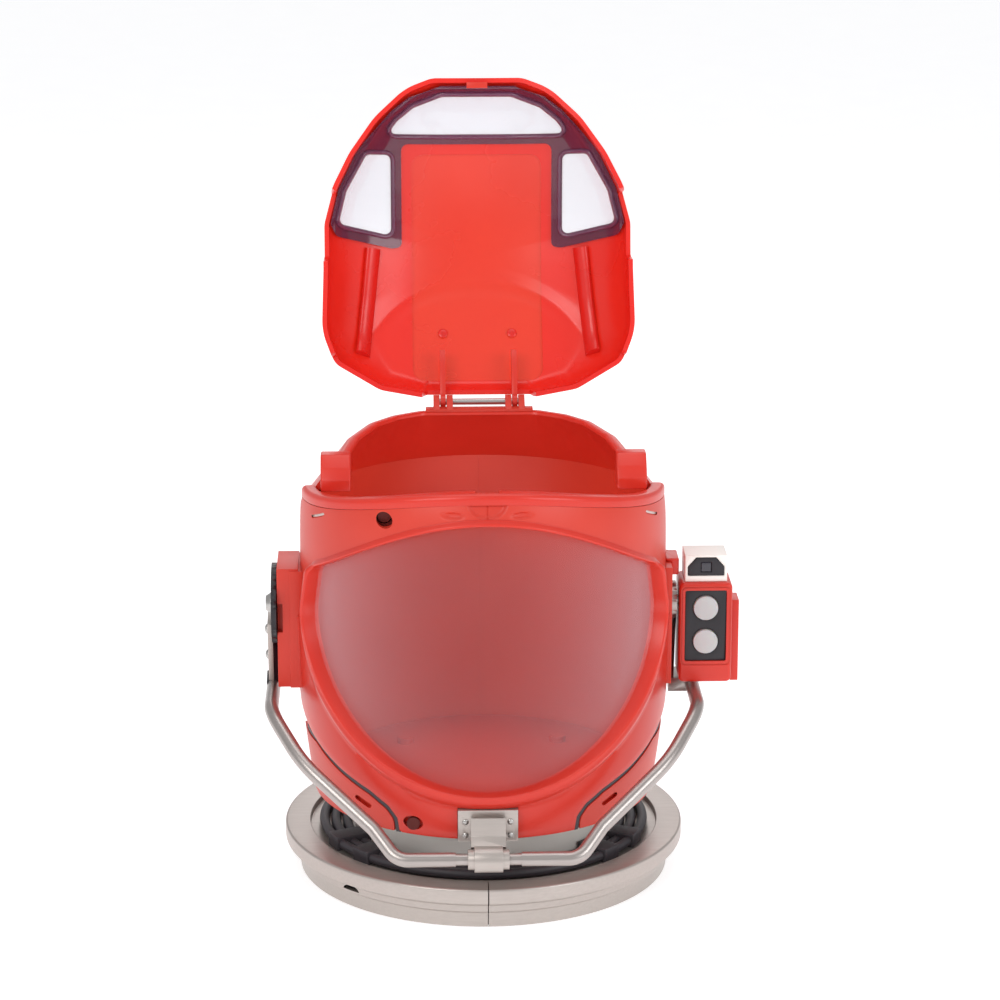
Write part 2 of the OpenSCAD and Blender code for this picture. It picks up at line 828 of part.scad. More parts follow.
// Places children on the line from the pivot at an angle under the front, as X, reach and width
module on_arm(angle) {
    translate([0, 0, pivot_z]) rotate([angle - 90, 0, 0]) children();
}

module bail_foot(x0, x1) {
    on_arm(arm_stow) translate([x0, -foot_front, -arm_reach - 3.5]) cube([x1 - x0, foot_front + 4, 7.5]);
}

module bail_hub_left() {
    x0 = -hub_x - arm_t;
    color([0.16, 0.14, 0.16]) difference() {
        union() {
            along_x(x0, -hub_x, hub_r, 0, pivot_z);
            on_arm(arm_stow) translate([x0, -6, -arm_reach]) cube([arm_t, 12, arm_reach]);
            bail_foot(-tube_x - tube_r, -hub_x);
        }
        along_x(x0 - 1, -hub_x + 1, pivot_pin_r + run_fit, 0, pivot_z);
    }
}

module bail_arm_right() {
    color("silver") difference() {
        union() {
            along_x(right_arm_x, right_arm_x + arm_t, 9, 0, pivot_z);
            on_arm(arm_stow) translate([right_arm_x, -5.5, -arm_reach]) cube([arm_t, 11, arm_reach]);
            bail_foot(right_arm_x, tube_x + tube_r);
        }
        along_x(right_arm_x - 1, right_arm_x + arm_t + 1, pivot_pin_r + run_fit, 0, pivot_z);
    }
}

rivet_reaches = [14.5, 29];

module bail_plate_left() {
    x0 = -hub_x - arm_t - plate_t;
    color("silver") difference() {
        on_arm(arm_stow) translate([x0, -6, -arm_reach + 5]) cube([plate_t, 12, arm_reach - 13.5]);
        on_arm(arm_stow) for (r = rivet_reaches) along_x(x0 - 1, x0 + plate_t + 1, screw_r, 0, -r);
    }
}

module bail_rivets() {
    x0 = -hub_x - arm_t - plate_t;
    color("lightgray") on_arm(arm_stow) for (r = rivet_reaches) union() {
        along_x(x0, x0 + plate_t, screw_r, 0, -r);
        translate([x0, 0, -r]) rotate([0, -90, 0]) cylinder(r1 = 2.4, r2 = 1.4, h = 1.6);
    }
}

// A point of the bail: distance to the side, distance from the pivot, angle under the front
function bail_point(side, x, reach, angle) = [side * x, -reach * cos(angle), pivot_z - reach * sin(angle)];
function bail_route(side) = [
    bail_point(side, tube_x, arm_reach, arm_stow) + [0, -4, 0],
    bail_point(side, tube_x, arm_reach + 10, bail_stow + 6),
    bail_point(side, tube_x - 15, bail_reach - 49, bail_stow),
    bail_point(side, 52, bail_reach - 15.4, bail_stow),
    bail_point(side, 41.5, bail_reach, bail_stow),
    bail_point(side, sleeve_half, bail_reach, bail_stow)];
bail_bends = [26, 60, 10, 10];

bend_steps = 6;
tube_sides = 20;

// Rings of the swept tube, each as a point and a direction
function bend_rings(a, b, c, bend_r) =
    let (u = unit(a - b), v = unit(c - b), inner = acos(u * v), mid = b + unit(u + v) * bend_r / sin(inner / 2),
        x = unit(b + u * bend_r / tan(inner / 2) - mid))
    [for (i = [0 : bend_steps]) let (t = (180 - inner) * i / bend_steps)
        [mid + bend_r * (x * cos(t) - u * sin(t)), -u * cos(t) - x * sin(t)]];
function tube_rings(p) = concat(
    [[p[0], unit(p[1] - p[0])]],
    [for (i = [1 : len(p) - 2]) each bend_rings(p[i - 1], p[i], p[i + 1], bail_bends[i - 1])],
    [[p[len(p) - 1], unit(p[len(p) - 1] - p[len(p) - 2])]]);

module bail_tube(side) {
    rings = tube_rings(bail_route(side));
    n = len(rings);
    m = tube_sides;
    flat = [0, -sin(bail_stow), cos(bail_stow)];
    points = [for (ring = rings) let (a = unit(cross(ring[1], flat)), b = cross(ring[1], a))
        for (j = [0 : m - 1]) ring[0] + tube_r * (a * cos(360 * j / m) + b * sin(360 * j / m))];
    walls = [for (i = [0 : n - 2], j = [0 : m - 1]) let (k = (j + 1) % m)
        each [[i * m + k, i * m + j, (i + 1) * m + j], [i * m + k, (i + 1) * m + j, (i + 1) * m + k]]];
    color("silver") difference() {
        polyhedron(points, concat(walls, [[for (j = [0 : m - 1]) j],
            [for (j = [m - 1 : -1 : 0]) (n - 1) * m + j]]));
        on_arm(arm_stow) translate([side * tube_x - 10, -foot_front, -arm_reach - 10]) cube([20, 20, 20]);
    }
}

module bail_tube_left() {
    bail_tube(-1);
}

module bail_tube_right() {
    bail_tube(1);
}

module bail_sleeve() {
    color("lightgray") along_x(-sleeve_half, sleeve_half, sleeve_r, -bail_y, bail_z);
}

// ---- Chin latch ----

module latch_base() {
    translate([-latch_half_w, -latch_y, latch_z]) cube([2 * latch_half_w, latch_y, latch_h]);
}

// Room for the plate in the face frame, open to the front
module latch_pocket() {
    translate([-latch_half_w - seat_gap, -latch_y - 5, latch_z - seat_gap])
        cube([2 * (latch_half_w + seat_gap), latch_y + 5, latch_h + 2 * seat_gap]);
}

module latch_plate() {
    color("silver") union() {
        difference() {
            latch_base();
            body_solid();
            for (x = [-1, 1], z = [3, 9.5])
                along_y(x * (latch_half_w - 3.4), -latch_y - 1, -latch_y + 1.4, 0.9, latch_z + z);
        }
        translate([-5, -latch_y - keeper_d, latch_z + 6.5]) cube([10, keeper_d, 4.5]);
    }
}

module latch_rivets() {
    color("lightgray") for (x = [-1, 1], z = [3, 9.5])
        translate([x * (latch_half_w - 3.4), -latch_y, latch_z + z]) rotate([90, 0, 0]) union() {
            translate([0, 0, -1.4]) cylinder(r = 0.9, h = 1.4);
            cylinder(r1 = 1.5, r2 = 0.9, h = 0.9);
        }
}

module latch_buckle() {
    barrel_r = 6;
    color("silver") difference() {
        union() {
            along_x(-6.5, 6.5, barrel_r, -bail_y, bail_z);
            along_x(-9.4, 9.4, barrel_r - 1.3, -bail_y, bail_z);
            translate([-8, 0, 0]) rotate([90, 0, 90]) linear_extrude(16) polygon([
                [-strap_y, latch_z + 12], [-strap_y - 2, latch_z + 13], [-strap_y - 2.6, bail_z + 9],
                [-bail_y + 1, bail_z + 5.6], [-bail_y + 4.6, bail_z + 3], [-strap_y, bail_z + 7]]);
        }
        along_x(-20, 20, sleeve_r + run_fit, -bail_y, bail_z);
    }
}

// ---- Lamp ----

module lamp_box(grow, z0, z1) {
    translate([lamp_x - grow, -lamp_d / 2 - grow, z0])
        cube([lamp_w + 2 * grow, lamp_d + 2 * grow, z1 - z0]);
}

module lamp_bracket() {
    color([0.88, 0.29, 0.22]) difference() {
        translate([shell_r - 6, -5, pivot_z + 13.5]) cube([lamp_x - shell_r + 6, 15, 8]);
        body_solid();
        translate([shell_r - 7, -16, pivot_z - 38]) cube([right_arm_x - slide_gap - shell_r + 7, 32, 58]);
    }
}

module lamp_housing() {
    color([0.9, 0.28, 0.22]) difference() {
        lamp_box(0, lamp_z, lamp_z + lamp_h);
        translate([lamp_x + lamp_wall, -lamp_d / 2 + lamp_face_t, lamp_z + lamp_wall])
            cube([lamp_w - 2 * lamp_wall, lamp_d, lamp_h - 2 * lamp_wall]);
        translate([lamp_mid_x - face_w / 2, -lamp_d, face_z]) cube([face_w, lamp_d, face_h]);
        along_x(lamp_x - 1, lamp_x + lamp_wall + 1, pivot_pin_r, 0, pivot_z);
    }
}

module lamp_cover() {
    color([0.8, 0.24, 0.19]) difference() {
        translate([lamp_x + lamp_wall + seat_gap, lamp_d / 2 - lamp_cover_t, lamp_z + lamp_wall + seat_gap])
            cube([lamp_w - 2 * (lamp_wall + seat_gap), lamp_cover_t, lamp_h - 2 * (lamp_wall + seat_gap)]);
        for (z = [5, lamp_h - 5]) along_y(lamp_mid_x, 0, lamp_d, pilot_r, lamp_z + z);
    }
}

module lamp_screws() {
    color("gray") for (z = [5, lamp_h - 5]) union() {
        along_y(lamp_mid_x, lamp_d / 2 - 6, lamp_d / 2, pilot_r, lamp_z + z);
        along_y(lamp_mid_x, lamp_d / 2, lamp_d / 2 + 1.2, 2.4, lamp_z + z);
    }
}

module lamp_face() {
    color([0.14, 0.12, 0.16]) difference() {
        translate([lamp_mid_x - face_w / 2 + seat_gap, -lamp_d / 2 + 0.8, face_z + seat_gap])
            cube([face_w - 2 * seat_gap, lamp_face_t, face_h - 2 * seat_gap]);
        for (z = button_zs) along_y(button_x, -lamp_d, 0, button_r + slide_gap, z);
    }
}

module lamp_button(z) {
    color([0.82, 0.8, 0.8]) union() {
        along_y(button_x, -lamp_d / 2 - 0.6, -lamp_d / 2 + 3.2, button_r, z);
        along_y(button_x, -lamp_d / 2 + 3.2, -lamp_d / 2 + 4, button_r + 1, z);
    }
}

module lamp_button_upper() {
    lamp_button(button_zs[0]);
}

module lamp_button_lower() {
    lamp_button(button_zs[1]);
}

module button_springs() {
    spring_y = -lamp_d / 2 + 4 + button_travel + 0.2;
    color("gray") for (z = button_zs) difference() {
        along_y(button_x, spring_y, board_y, 4.2, z);
        along_y(button_x, spring_y - 1, board_y + 1, 3.3, z);
    }
}

module circuit_board() {
    board_w = lamp_w - 2 * lamp_wall - 2 * seat_gap;
    color([0.1, 0.4, 0.2]) union() {
        translate([lamp_mid_x - board_w / 2, board_y, lamp_z + lamp_wall + 1])
            cube([board_w, board_t, lamp_h - 2 * lamp_wall - 2]);
        for (z = button_zs) translate([button_x - 1.5, board_y - 0.8, z - 1.5]) cube([3, 0.8, 3]);
    }
}

module battery_cells() {
    color("lightgray") for (i = [0, 1])
        along_y(lamp_mid_x, board_y + board_t + 0.4 + i * cell_t, board_y + board_t + 0.4 + (i + 1) * cell_t,
            cell_r, lamp_z + lamp_h / 2);
}

module side_guard() {
    color([0.82, 0.24, 0.19]) union() {
        translate([lamp_x + lamp_w, -4, lamp_z - 1.5]) cube([3.8, 12, 40]);
        translate([lamp_x + lamp_w - 8, -2, lamp_z - 2.2]) cube([8, 8, 2.2]);
    }
}

module camera_block() {
    z0 = lamp_z + lamp_h;
    color([0.97, 0.95, 0.92]) difference() {
        translate([lamp_mid_x - camera_w / 2, -camera_d / 2, z0]) cube([camera_w, camera_d, camera_h]);
        camera_recess(0);
    }
}

module camera_recess(inset) {
    z0 = lamp_z + lamp_h;
    face = [[-camera_w / 2 + 1.4, 3], [camera_w / 2 - 1.4, 3], [camera_w / 2 - 1.4, 7.5], [camera_w / 2 - 5.4, 12],
        [-camera_w / 2 + 5.4, 12], [-camera_w / 2 + 1.4, 7.5]];
    translate([lamp_mid_x, -camera_d / 2 + 1.6, z0]) rotate([90, 0, 0]) linear_extrude(inset > 0 ? 1.8 : 4)
        offset(delta = -inset) polygon(face);
}

module camera_face() {
    color([0.12, 0.1, 0.13]) difference() {
        camera_recess(seat_gap);
        translate([lamp_mid_x - 2.5, -camera_d / 2 - 2, lamp_z + lamp_h + 4.8]) cube([5, 3, 5]);
    }
}

module camera_window() {
    color([0.3, 0.28, 0.32]) translate([lamp_mid_x - 2.5 + seat_gap, -camera_d / 2, lamp_z + lamp_h + 5])
        cube([5 - 2 * seat_gap, 1, 4.6]);
}

base_ring_left();
base_ring_right();
base_plate();
base_screws();
hose_inner();
hose_middle();
hose_outer();
hose_couplings();
neck_collar();
neck_screws();
bucket_floor();
floor_screws();
shell_left();
shell_right();
rim_collar();
face_frame();
visor();
shell_screws();
cheek_panel_left();
cheek_panel_right();
cheek_seal_left();
cheek_seal_right();
hinge_bracket();
hinge_pin();
lid_shell();
window_insert();
snap_tab();
hinge_strap_left();
hinge_strap_right();
ear_block_left();
ear_block_right();
pivot_pin_left();
pivot_pin_right();
bail_hub_left();
bail_arm_right();
bail_plate_left();
bail_rivets();
bail_tube_left();
bail_tube_right();
bail_sleeve();
latch_plate();
latch_rivets();
latch_buckle();
lamp_bracket();
lamp_housing();
lamp_cover();
lamp_screws();
lamp_face();
lamp_button_upper();
lamp_button_lower();
button_springs();
circuit_board();
battery_cells();
side_guard();
camera_block();
camera_face();
camera_window();
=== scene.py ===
import json
import math

import bmesh
import bpy
import numpy as np
from mathutils import Matrix, Vector


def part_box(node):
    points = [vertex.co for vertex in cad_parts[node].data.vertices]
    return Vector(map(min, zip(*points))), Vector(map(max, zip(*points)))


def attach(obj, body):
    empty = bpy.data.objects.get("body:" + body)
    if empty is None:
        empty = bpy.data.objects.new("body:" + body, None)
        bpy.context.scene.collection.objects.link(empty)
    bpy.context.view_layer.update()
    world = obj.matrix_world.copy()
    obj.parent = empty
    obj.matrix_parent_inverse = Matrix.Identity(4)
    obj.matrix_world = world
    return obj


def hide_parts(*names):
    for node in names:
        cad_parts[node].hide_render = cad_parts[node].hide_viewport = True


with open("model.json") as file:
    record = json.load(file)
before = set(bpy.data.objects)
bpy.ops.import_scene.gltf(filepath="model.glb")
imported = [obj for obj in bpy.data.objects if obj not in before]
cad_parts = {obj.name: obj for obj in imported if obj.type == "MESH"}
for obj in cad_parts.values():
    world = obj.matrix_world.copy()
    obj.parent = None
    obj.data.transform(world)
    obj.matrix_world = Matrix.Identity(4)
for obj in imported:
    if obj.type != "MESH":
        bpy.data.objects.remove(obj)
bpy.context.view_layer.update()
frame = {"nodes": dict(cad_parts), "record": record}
mm = 0.001


# ---- camera, floor and studio light ----

cameraSizes = dict(aim=(0.008, 0, 0.1784), azimuth=-1.73, elevation=15.9, distance=1.6, lens=122.8)
floorSizes = dict(half=12.0, drop=0.0002)
softboxes = [
    dict(name="keyBox", place=(-0.75, -1.15, 1.05), size=0.8, power=8, tint=(1, 0.985, 0.97)),
    dict(name="fillBox", place=(0.95, -0.95, 0.75), size=0.7, power=5.5, tint=(0.97, 0.985, 1)),
    dict(name="topBox", place=(0, 0.1, 1.5), size=0.9, power=4, tint=(1, 1, 1)),
    dict(name="backBox", place=(0.1, 1.3, 0.8), size=0.9, power=2.5, tint=(1, 1, 1)),
]


def srgb(red, green, blue):
    return tuple(((c / 255 + 0.055) / 1.055) ** 2.4 if c > 10 else c / 255 / 12.92 for c in (red, green, blue))


def lookAt(thing, place, aim):
    thing.location = place
    thing.rotation_euler = (Vector(aim) - Vector(place)).to_track_quat("-Z", "Y").to_euler()


def makeCamera(sizes):
    lens = bpy.data.cameras.new("camera")
    lens.lens = sizes["lens"]
    lens.clip_end = 20
    camera = bpy.data.objects.new("camera", lens)
    bpy.context.scene.collection.objects.link(camera)
    turn, rise = math.radians(sizes["azimuth"]), math.radians(sizes["elevation"])
    away = Vector((math.sin(turn) * math.cos(rise), -math.cos(turn) * math.cos(rise), math.sin(rise)))
    lookAt(camera, Vector(sizes["aim"]) + away * sizes["distance"], sizes["aim"])
    bpy.context.scene.camera = camera


def makeLights(boxes):
    for box in boxes:
        light = bpy.data.lights.new(box["name"], "AREA")
        light.size = box["size"]
        light.energy = box["power"]
        light.color = box["tint"]
        lamp = bpy.data.objects.new(box["name"], light)
        bpy.context.scene.collection.objects.link(lamp)
        lookAt(lamp, box["place"], (0, 0, 0.18))
    world = bpy.data.worlds.new("studio")
    world.use_nodes = True
    sky = world.node_tree.nodes["Background"]
    sky.inputs["Color"].default_value = (0.98, 0.985, 1, 1)
    # seen straight on, the room is a lit white sweep; what it sheds on the object is softer
    seen = world.node_tree.nodes.new("ShaderNodeLightPath")
    level = world.node_tree.nodes.new("ShaderNodeMapRange")
    level.inputs["To Min"].default_value = 0.54
    level.inputs["To Max"].default_value = 1.05
    world.node_tree.links.new(seen.outputs["Is Camera Ray"], level.inputs["Value"])
    world.node_tree.links.new(level.outputs["Result"], sky.inputs["Strength"])
    bpy.context.scene.world = world
    bpy.context.scene.view_settings.view_transform = "Standard"


makeCamera(cameraSizes)
makeLights(softboxes)
print("camera and lights are up")


# ---- finishes ----


def newGroup(name, *extra):
    group = bpy.data.node_groups.new(name, "ShaderNodeTree")
    inputs = [("Vector", "Vector"), ("Colour", "Color"), ("Shade", "Color"), ("Polish", "Float"), ("Spread", "Float")]
    for label, kind in inputs + list(extra):
        group.interface.new_socket(name=label, in_out="INPUT", socket_type="NodeSocket" + kind)
    for label, kind in (("Colour", "Color"), ("Roughness", "Float"), ("Height", "Float")):
        group.interface.new_socket(name=label, in_out="OUTPUT", socket_type="NodeSocket" + kind)
    return group, group.nodes.new("NodeGroupInput"), group.nodes.new("NodeGroupOutput")


def node(tree, kind, **values):
    made = tree.nodes.new(kind)
    for key, value in values.items():
        setattr(made, key, value)
    return made


def colourAndPolish(group, given, out, blend, pattern):
    # the colour lies between the two given ones, and the polish swings with the same pattern
    link = group.links.new
    mix = node(group, "ShaderNodeMix", data_type="RGBA")
    link(blend, mix.inputs["Factor"])
    link(given.outputs["Colour"], mix.inputs["A"])
    link(given.outputs["Shade"], mix.inputs["B"])
    link(mix.outputs["Result"], out.inputs["Colour"])
    swing = node(group, "ShaderNodeMath", operation="MULTIPLY_ADD")
    for i, source in enumerate((pattern, given.outputs["Spread"], given.outputs["Polish"])):
        link(source, swing.inputs[i])
    link(swing.outputs["Value"], out.inputs["Roughness"])


def buildGrain():
    # moulded skin: fine grain, slow mottling of the colour and the polish
    group, given, out = newGroup("mouldedGrain", ("Scale", "Float"))
    link = group.links.new
    fine = node(group, "ShaderNodeTexNoise")
    fine.inputs["Detail"].default_value = 3
    slow = node(group, "ShaderNodeTexNoise")
    slow.inputs["Scale"].default_value = 22
    slow.inputs["Detail"].default_value = 4
    for texture in (fine, slow):
        link(given.outputs["Vector"], texture.inputs["Vector"])
    link(given.outputs["Scale"], fine.inputs["Scale"])
    ramp = node(group, "ShaderNodeMapRange")
    ramp.inputs["From Min"].default_value = 0.35
    ramp.inputs["From Max"].default_value = 0.7
    link(slow.outputs["Fac"], ramp.inputs["Value"])
    colourAndPolish(group, given, out, ramp.outputs["Result"], slow.outputs["Fac"])
    link(fine.outputs["Fac"], out.inputs["Height"])
    return group


def buildBrushed():
    # drawn or brushed metal: long fine scratches across one direction
    group, given, out = newGroup("brushedLines")
    link = group.links.new
    scratches = node(group, "ShaderNodeTexNoise")
    scratches.inputs["Scale"].default_value = 60
    scratches.inputs["Detail"].default_value = 6
    stretch = node(group, "ShaderNodeVectorMath", operation="MULTIPLY")
    stretch.inputs[1].default_value = (1.2, 18, 18)
    link(given.outputs["Vector"], stretch.inputs[0])
    link(stretch.outputs["Vector"], scratches.inputs["Vector"])
    colourAndPolish(group, given, out, scratches.outputs["Fac"], scratches.outputs["Fac"])
    link(scratches.outputs["Fac"], out.inputs["Height"])
    return group


grainGroup = buildGrain()
brushedGroup = buildBrushed()


def finish(name, colour, shade, polish, spread=0.1, bump=0.15, scale=900.0, group=None, veil=None, **sockets):
    material = bpy.data.materials.new(name)
    material.use_nodes = True
    tree = material.node_tree
    skin = tree.nodes["Principled BSDF"]
    pattern = node(tree, "ShaderNodeGroup")
    pattern.node_tree = group or grainGroup
    place = node(tree, "ShaderNodeTexCoord")
    tree.links.new(place.outputs["Object"], pattern.inputs["Vector"])
    pattern.inputs["Colour"].default_value = (*srgb(*colour), 1)
    pattern.inputs["Shade"].default_value = (*srgb(*shade), 1)
    pattern.inputs["Polish"].default_value = polish
    pattern.inputs["Spread"].default_value = spread
    if "Scale" in pattern.inputs:
        pattern.inputs["Scale"].default_value = scale
    tree.links.new(pattern.outputs["Colour"], skin.inputs["Base Color"])
    tree.links.new(pattern.outputs["Roughness"], skin.inputs["Roughness"])
    if bump:
        relief = node(tree, "ShaderNodeBump")
        relief.inputs["Strength"].default_value = bump
        relief.inputs["Distance"].default_value = 0.0002
        tree.links.new(pattern.outputs["Height"], relief.inputs["Height"])
        tree.links.new(relief.outputs["Normal"], skin.inputs["Normal"])
    if veil:
        # thin clear moulding: little to see straight on, more shine at a slant
        slant = node(tree, "ShaderNodeLayerWeight")
        slant.inputs["Blend"].default_value = 0.35
        cover = node(tree, "ShaderNodeMapRange")
        cover.inputs["To Min"].default_value, cover.inputs["To Max"].default_value = veil
        tree.links.new(slant.outputs["Facing"], cover.inputs["Value"])
        tree.links.new(cover.outputs["Result"], skin.inputs["Alpha"])
    for label, value in sockets.items():
        skin.inputs[label.replace("_", " ")].default_value = value
    return material


finishes = {
    "shell_red": finish("shellRed", (214, 62, 46), (207, 57, 42), 0.34, bump=0.04, Subsurface_Weight=0.08,
                        Specular_IOR_Level=0.4),
    "trim_red": finish("trimRed", (216, 52, 38), (210, 47, 34), 0.25, bump=0.03, Subsurface_Weight=0.1,
                       Specular_IOR_Level=0.45),
    "silver_plastic": finish("silverPaint", (192, 183, 177), (178, 169, 163), 0.32, group=brushedGroup, bump=0.05,
                             Metallic=0.7),
    "silver_tube": finish("silverTube", (184, 176, 172), (166, 158, 154), 0.27, group=brushedGroup, bump=0.05,
                          Metallic=0.85),
    "neck_white": finish("neckWhite", (226, 222, 216), (216, 211, 204), 0.4),
    "hose_black": finish("hoseBlack", (66, 61, 66), (52, 48, 53), 0.42, bump=0.25),
    "base_grey": finish("baseGrey", (96, 92, 92), (84, 80, 80), 0.5),
    "lid_red": finish("lidRed", (232, 38, 30), (227, 34, 27), 0.22, bump=0.03, Subsurface_Weight=0.15,
                      Specular_IOR_Level=0.5),
    # painted shade: the shell red darkened to about half, for the brow screw and its cup, so the screw hole reads as a
    # shaded recess
    "screw_painted_shade": finish("screwPaintedShade", (104, 34, 28), (84, 28, 24), 0.4, Metallic=0.3),
    "clear_pane": finish("clearPane", (232, 236, 243), (225, 230, 238), 0.05, spread=0.02, bump=0.0,
                         veil=(0.02, 0.26), Specular_IOR_Level=0.6),
    "smoked_pane": finish("smokedPane", (108, 54, 82), (98, 48, 74), 0.1, spread=0.02, bump=0.0,
                          veil=(0.56, 0.85), Coat_Weight=0.5, Coat_Roughness=0.03),
    "smoked_bead": finish("smokedBead", (128, 74, 104), (112, 64, 92), 0.12, spread=0.02, bump=0.0,
                          veil=(0.75, 0.95), Coat_Weight=0.6, Coat_Roughness=0.03),
    "window_clear": finish("windowClear", (226, 229, 243), (220, 224, 238), 0.06, spread=0.02, bump=0.0,
                           veil=(0.2, 0.7), Coat_Weight=1.0, Coat_Roughness=0.02),
    "black_plastic": finish("blackPlastic", (34, 29, 36), (27, 23, 29), 0.36),
    "camera_white": finish("blockWhite", (248, 244, 238), (240, 236, 229), 0.38),
    "camera_glass": finish("darkGlass", (40, 34, 48), (30, 26, 38), 0.08, bump=0.0, Coat_Weight=0.6,
                           Coat_Roughness=0.05),
    "lamp_frost": finish("lampFrost", (206, 197, 196), (196, 187, 187), 0.45, bump=0.3, scale=2400,
                         Subsurface_Weight=0.2),
    "board_green": finish("boardGreen", (24, 96, 58), (18, 80, 48), 0.4),
    "cell_steel": finish("cellSteel", (206, 204, 200), (190, 188, 185), 0.22, group=brushedGroup, Metallic=1.0),
    "spring_steel": finish("springSteel", (190, 188, 186), (170, 168, 166), 0.25, group=brushedGroup,
                           Metallic=1.0),
    "fastener_steel": finish("fastenerSteel", (196, 193, 190), (178, 175, 172), 0.26, group=brushedGroup,
                             Metallic=1.0),
}
slotOf = {part["node"]: part["material_slot"] for part in frame["record"]["subparts"]}
bodyOf = {n: body for body, names in frame["record"]["behaviour"]["bodies"].items() for n in names}
for name, part in frame["nodes"].items():
    part.data.materials.clear()
    # the brow screws get the darkened red that paints the shade of their recess, in place of their own slot
    part.data.materials.append(finishes["screw_painted_shade" if name == "shell_screws" else slotOf[name]])


# ---- mesh helpers, all in millimetres ----


def makePiece(name, points, faces, skin):
    mesh = bpy.data.meshes.new(name)
    mesh.from_pydata([tuple(float(v) * mm for v in p) for p in points], [], faces)
    work = bmesh.new()
    work.from_mesh(mesh)
    bmesh.ops.remove_doubles(work, verts=work.verts, dist=1e-6)
    bmesh.ops.delete(work, geom=[edge for edge in work.edges if not edge.link_faces], context="EDGES")
    bmesh.ops.recalc_face_normals(work, faces=work.faces)
    work.to_mesh(mesh)
    work.free()
    piece = bpy.data.objects.new(name, mesh)
    bpy.context.scene.collection.objects.link(piece)
    return dress(piece, skin)


def dress(piece, skin, sharp=35):
    mesh = piece.data
    mesh.materials.clear()
    mesh.materials.append(finishes[skin] if isinstance(skin, str) else skin)
    mesh.polygons.foreach_set("use_smooth", [True] * len(mesh.polygons))
    mesh.set_sharp_from_angle(angle=math.radians(sharp))
    return piece


def applied(piece, sharp=35):
    bpy.context.view_layer.update()
    ready = bpy.data.meshes.new_from_object(piece.evaluated_get(bpy.context.evaluated_depsgraph_get()))
    piece.modifiers.clear()
    old = piece.data
    piece.data = ready
    bpy.data.meshes.remove(old)
    ready.set_sharp_from_angle(angle=math.radians(sharp))
    return piece


def bevelled(piece, width, segments=3, angle=35, sharp=35):
    rim = piece.modifiers.new("rim", "BEVEL")
    rim.width = width * mm
    rim.segments = segments
    rim.limit_method = "ANGLE"
    rim.angle_limit = math.radians(angle)
    rim.use_clamp_overlap = True
    return applied(piece, sharp)


def carve(piece, cutter, operation="DIFFERENCE"):
    knife = piece.modifiers.new("knife", "BOOLEAN")
    knife.operation = operation
    knife.solver = "MANIFOLD"
    knife.object = cutter
    applied(piece)
    bpy.data.objects.remove(cutter)
    return piece


def rounded(points, radius, steps=5, closed=True):
    # outline with each corner turned into an arc
    count = len(points)
    radii = radius if hasattr(radius, "__len__") else [radius] * count
    path = []
    for i, here in enumerate(points):
        here = np.array(here, float)
        if not closed and i in (0, count - 1):
            path.append(here)
            continue
        before, after = (np.array(points[(i + d) % count], float) - here for d in (-1, 1))
        reach = min(np.linalg.norm(before), np.linalg.norm(after)) * 0.49
        before, after = before / np.linalg.norm(before), after / np.linalg.norm(after)
        half = math.acos(float(np.clip(before @ after, -1, 1))) / 2
        if radii[i] <= 0 or half > 1.55:
            path.append(here)
            continue
        back = min(radii[i] / math.tan(half), reach)
        r = back * math.tan(half)
        middle = here + (before + after) / np.linalg.norm(before + after) * r / math.sin(half)
        first, last = here + before * back - middle, here + after * back - middle
        sweep = math.pi - 2 * half
        for step in range(steps + 1):
            t = step / steps
            path.append(middle + (first * math.sin((1 - t) * sweep) + last * math.sin(t * sweep)) / math.sin(sweep))
    return np.array(path)


def wallPiece(name, outer, inner, skin, around=False):
    # closed wall between two grids of points, rows along its height and columns along its length
    rows, columns = outer.shape[:2]
    points = np.concatenate([outer.reshape(-1, 3), inner.reshape(-1, 3)])
    size = rows * columns
    last = columns if around else columns - 1
    faces = []
    for i in range(rows - 1):
        for j in range(last):
            k = (j + 1) % columns
            quad = (i * columns + j, i * columns + k, (i + 1) * columns + k, (i + 1) * columns + j)
            faces.append(quad)
            faces.append(tuple(size + q for q in reversed(quad)))
    for j in range(last):
        k = (j + 1) % columns
        for row in (0, rows - 1):
            a, b = row * columns + j, row * columns + k
            faces.append((a, size + a, size + b, b))
    if not around:
        for i in range(rows - 1):
            for column in (0, columns - 1):
                a, b = i * columns + column, (i + 1) * columns + column
                faces.append((a, b, size + b, size + a))
    return makePiece(name, points, faces, skin)


def loopPiece(name, loops, skin, around=True, caps=False):
    # closed skin through a row of equal loops, such as a section swept along a line
    count, sides = len(loops), len(loops[0])
    points = np.concatenate([np.asarray(loop, float) for loop in loops])
    last = count if around else count - 1
    faces = [(i * sides + j, i * sides + (j + 1) % sides, (i + 1) % count * sides + (j + 1) % sides,
              (i + 1) % count * sides + j) for i in range(last) for j in range(sides)]
    if caps:
        faces += [tuple(range(sides)), tuple(range((count - 1) * sides, count * sides))]
    return makePiece(name, points, faces, skin)


def prism(outline, low, high, axis="y"):
    # upright outline pushed along an axis: x and z along y, x and y along z, or y and z along x
    spots = {"y": lambda a, b, c: (a, c, b), "z": lambda a, b, c: (a, b, c), "x": lambda a, b, c: (c, a, b)}[axis]
    loops = [[spots(a, b, c) for a, b in outline] for c in (low, high)]
    return loopPiece("knife", loops, "shell_red", around=False, caps=True)


def oval(x, z, wide, high, step=10):
    return [(x + wide * math.cos(t), z + high * math.sin(t)) for t in np.radians(np.arange(0, 360, step))]


def newTree(name, inputs):
    tree = bpy.data.node_groups.new(name, "GeometryNodeTree")
    for label, kind, value in [("Geometry", "Geometry", None)] + inputs:
        socket = tree.interface.new_socket(name=label, in_out="INPUT", socket_type="NodeSocket" + kind)
        if value is not None:
            socket.default_value = value
    tree.interface.new_socket(name="Geometry", in_out="OUTPUT", socket_type="NodeSocketGeometry")
    return tree, tree.nodes.new("NodeGroupInput"), tree.links.new


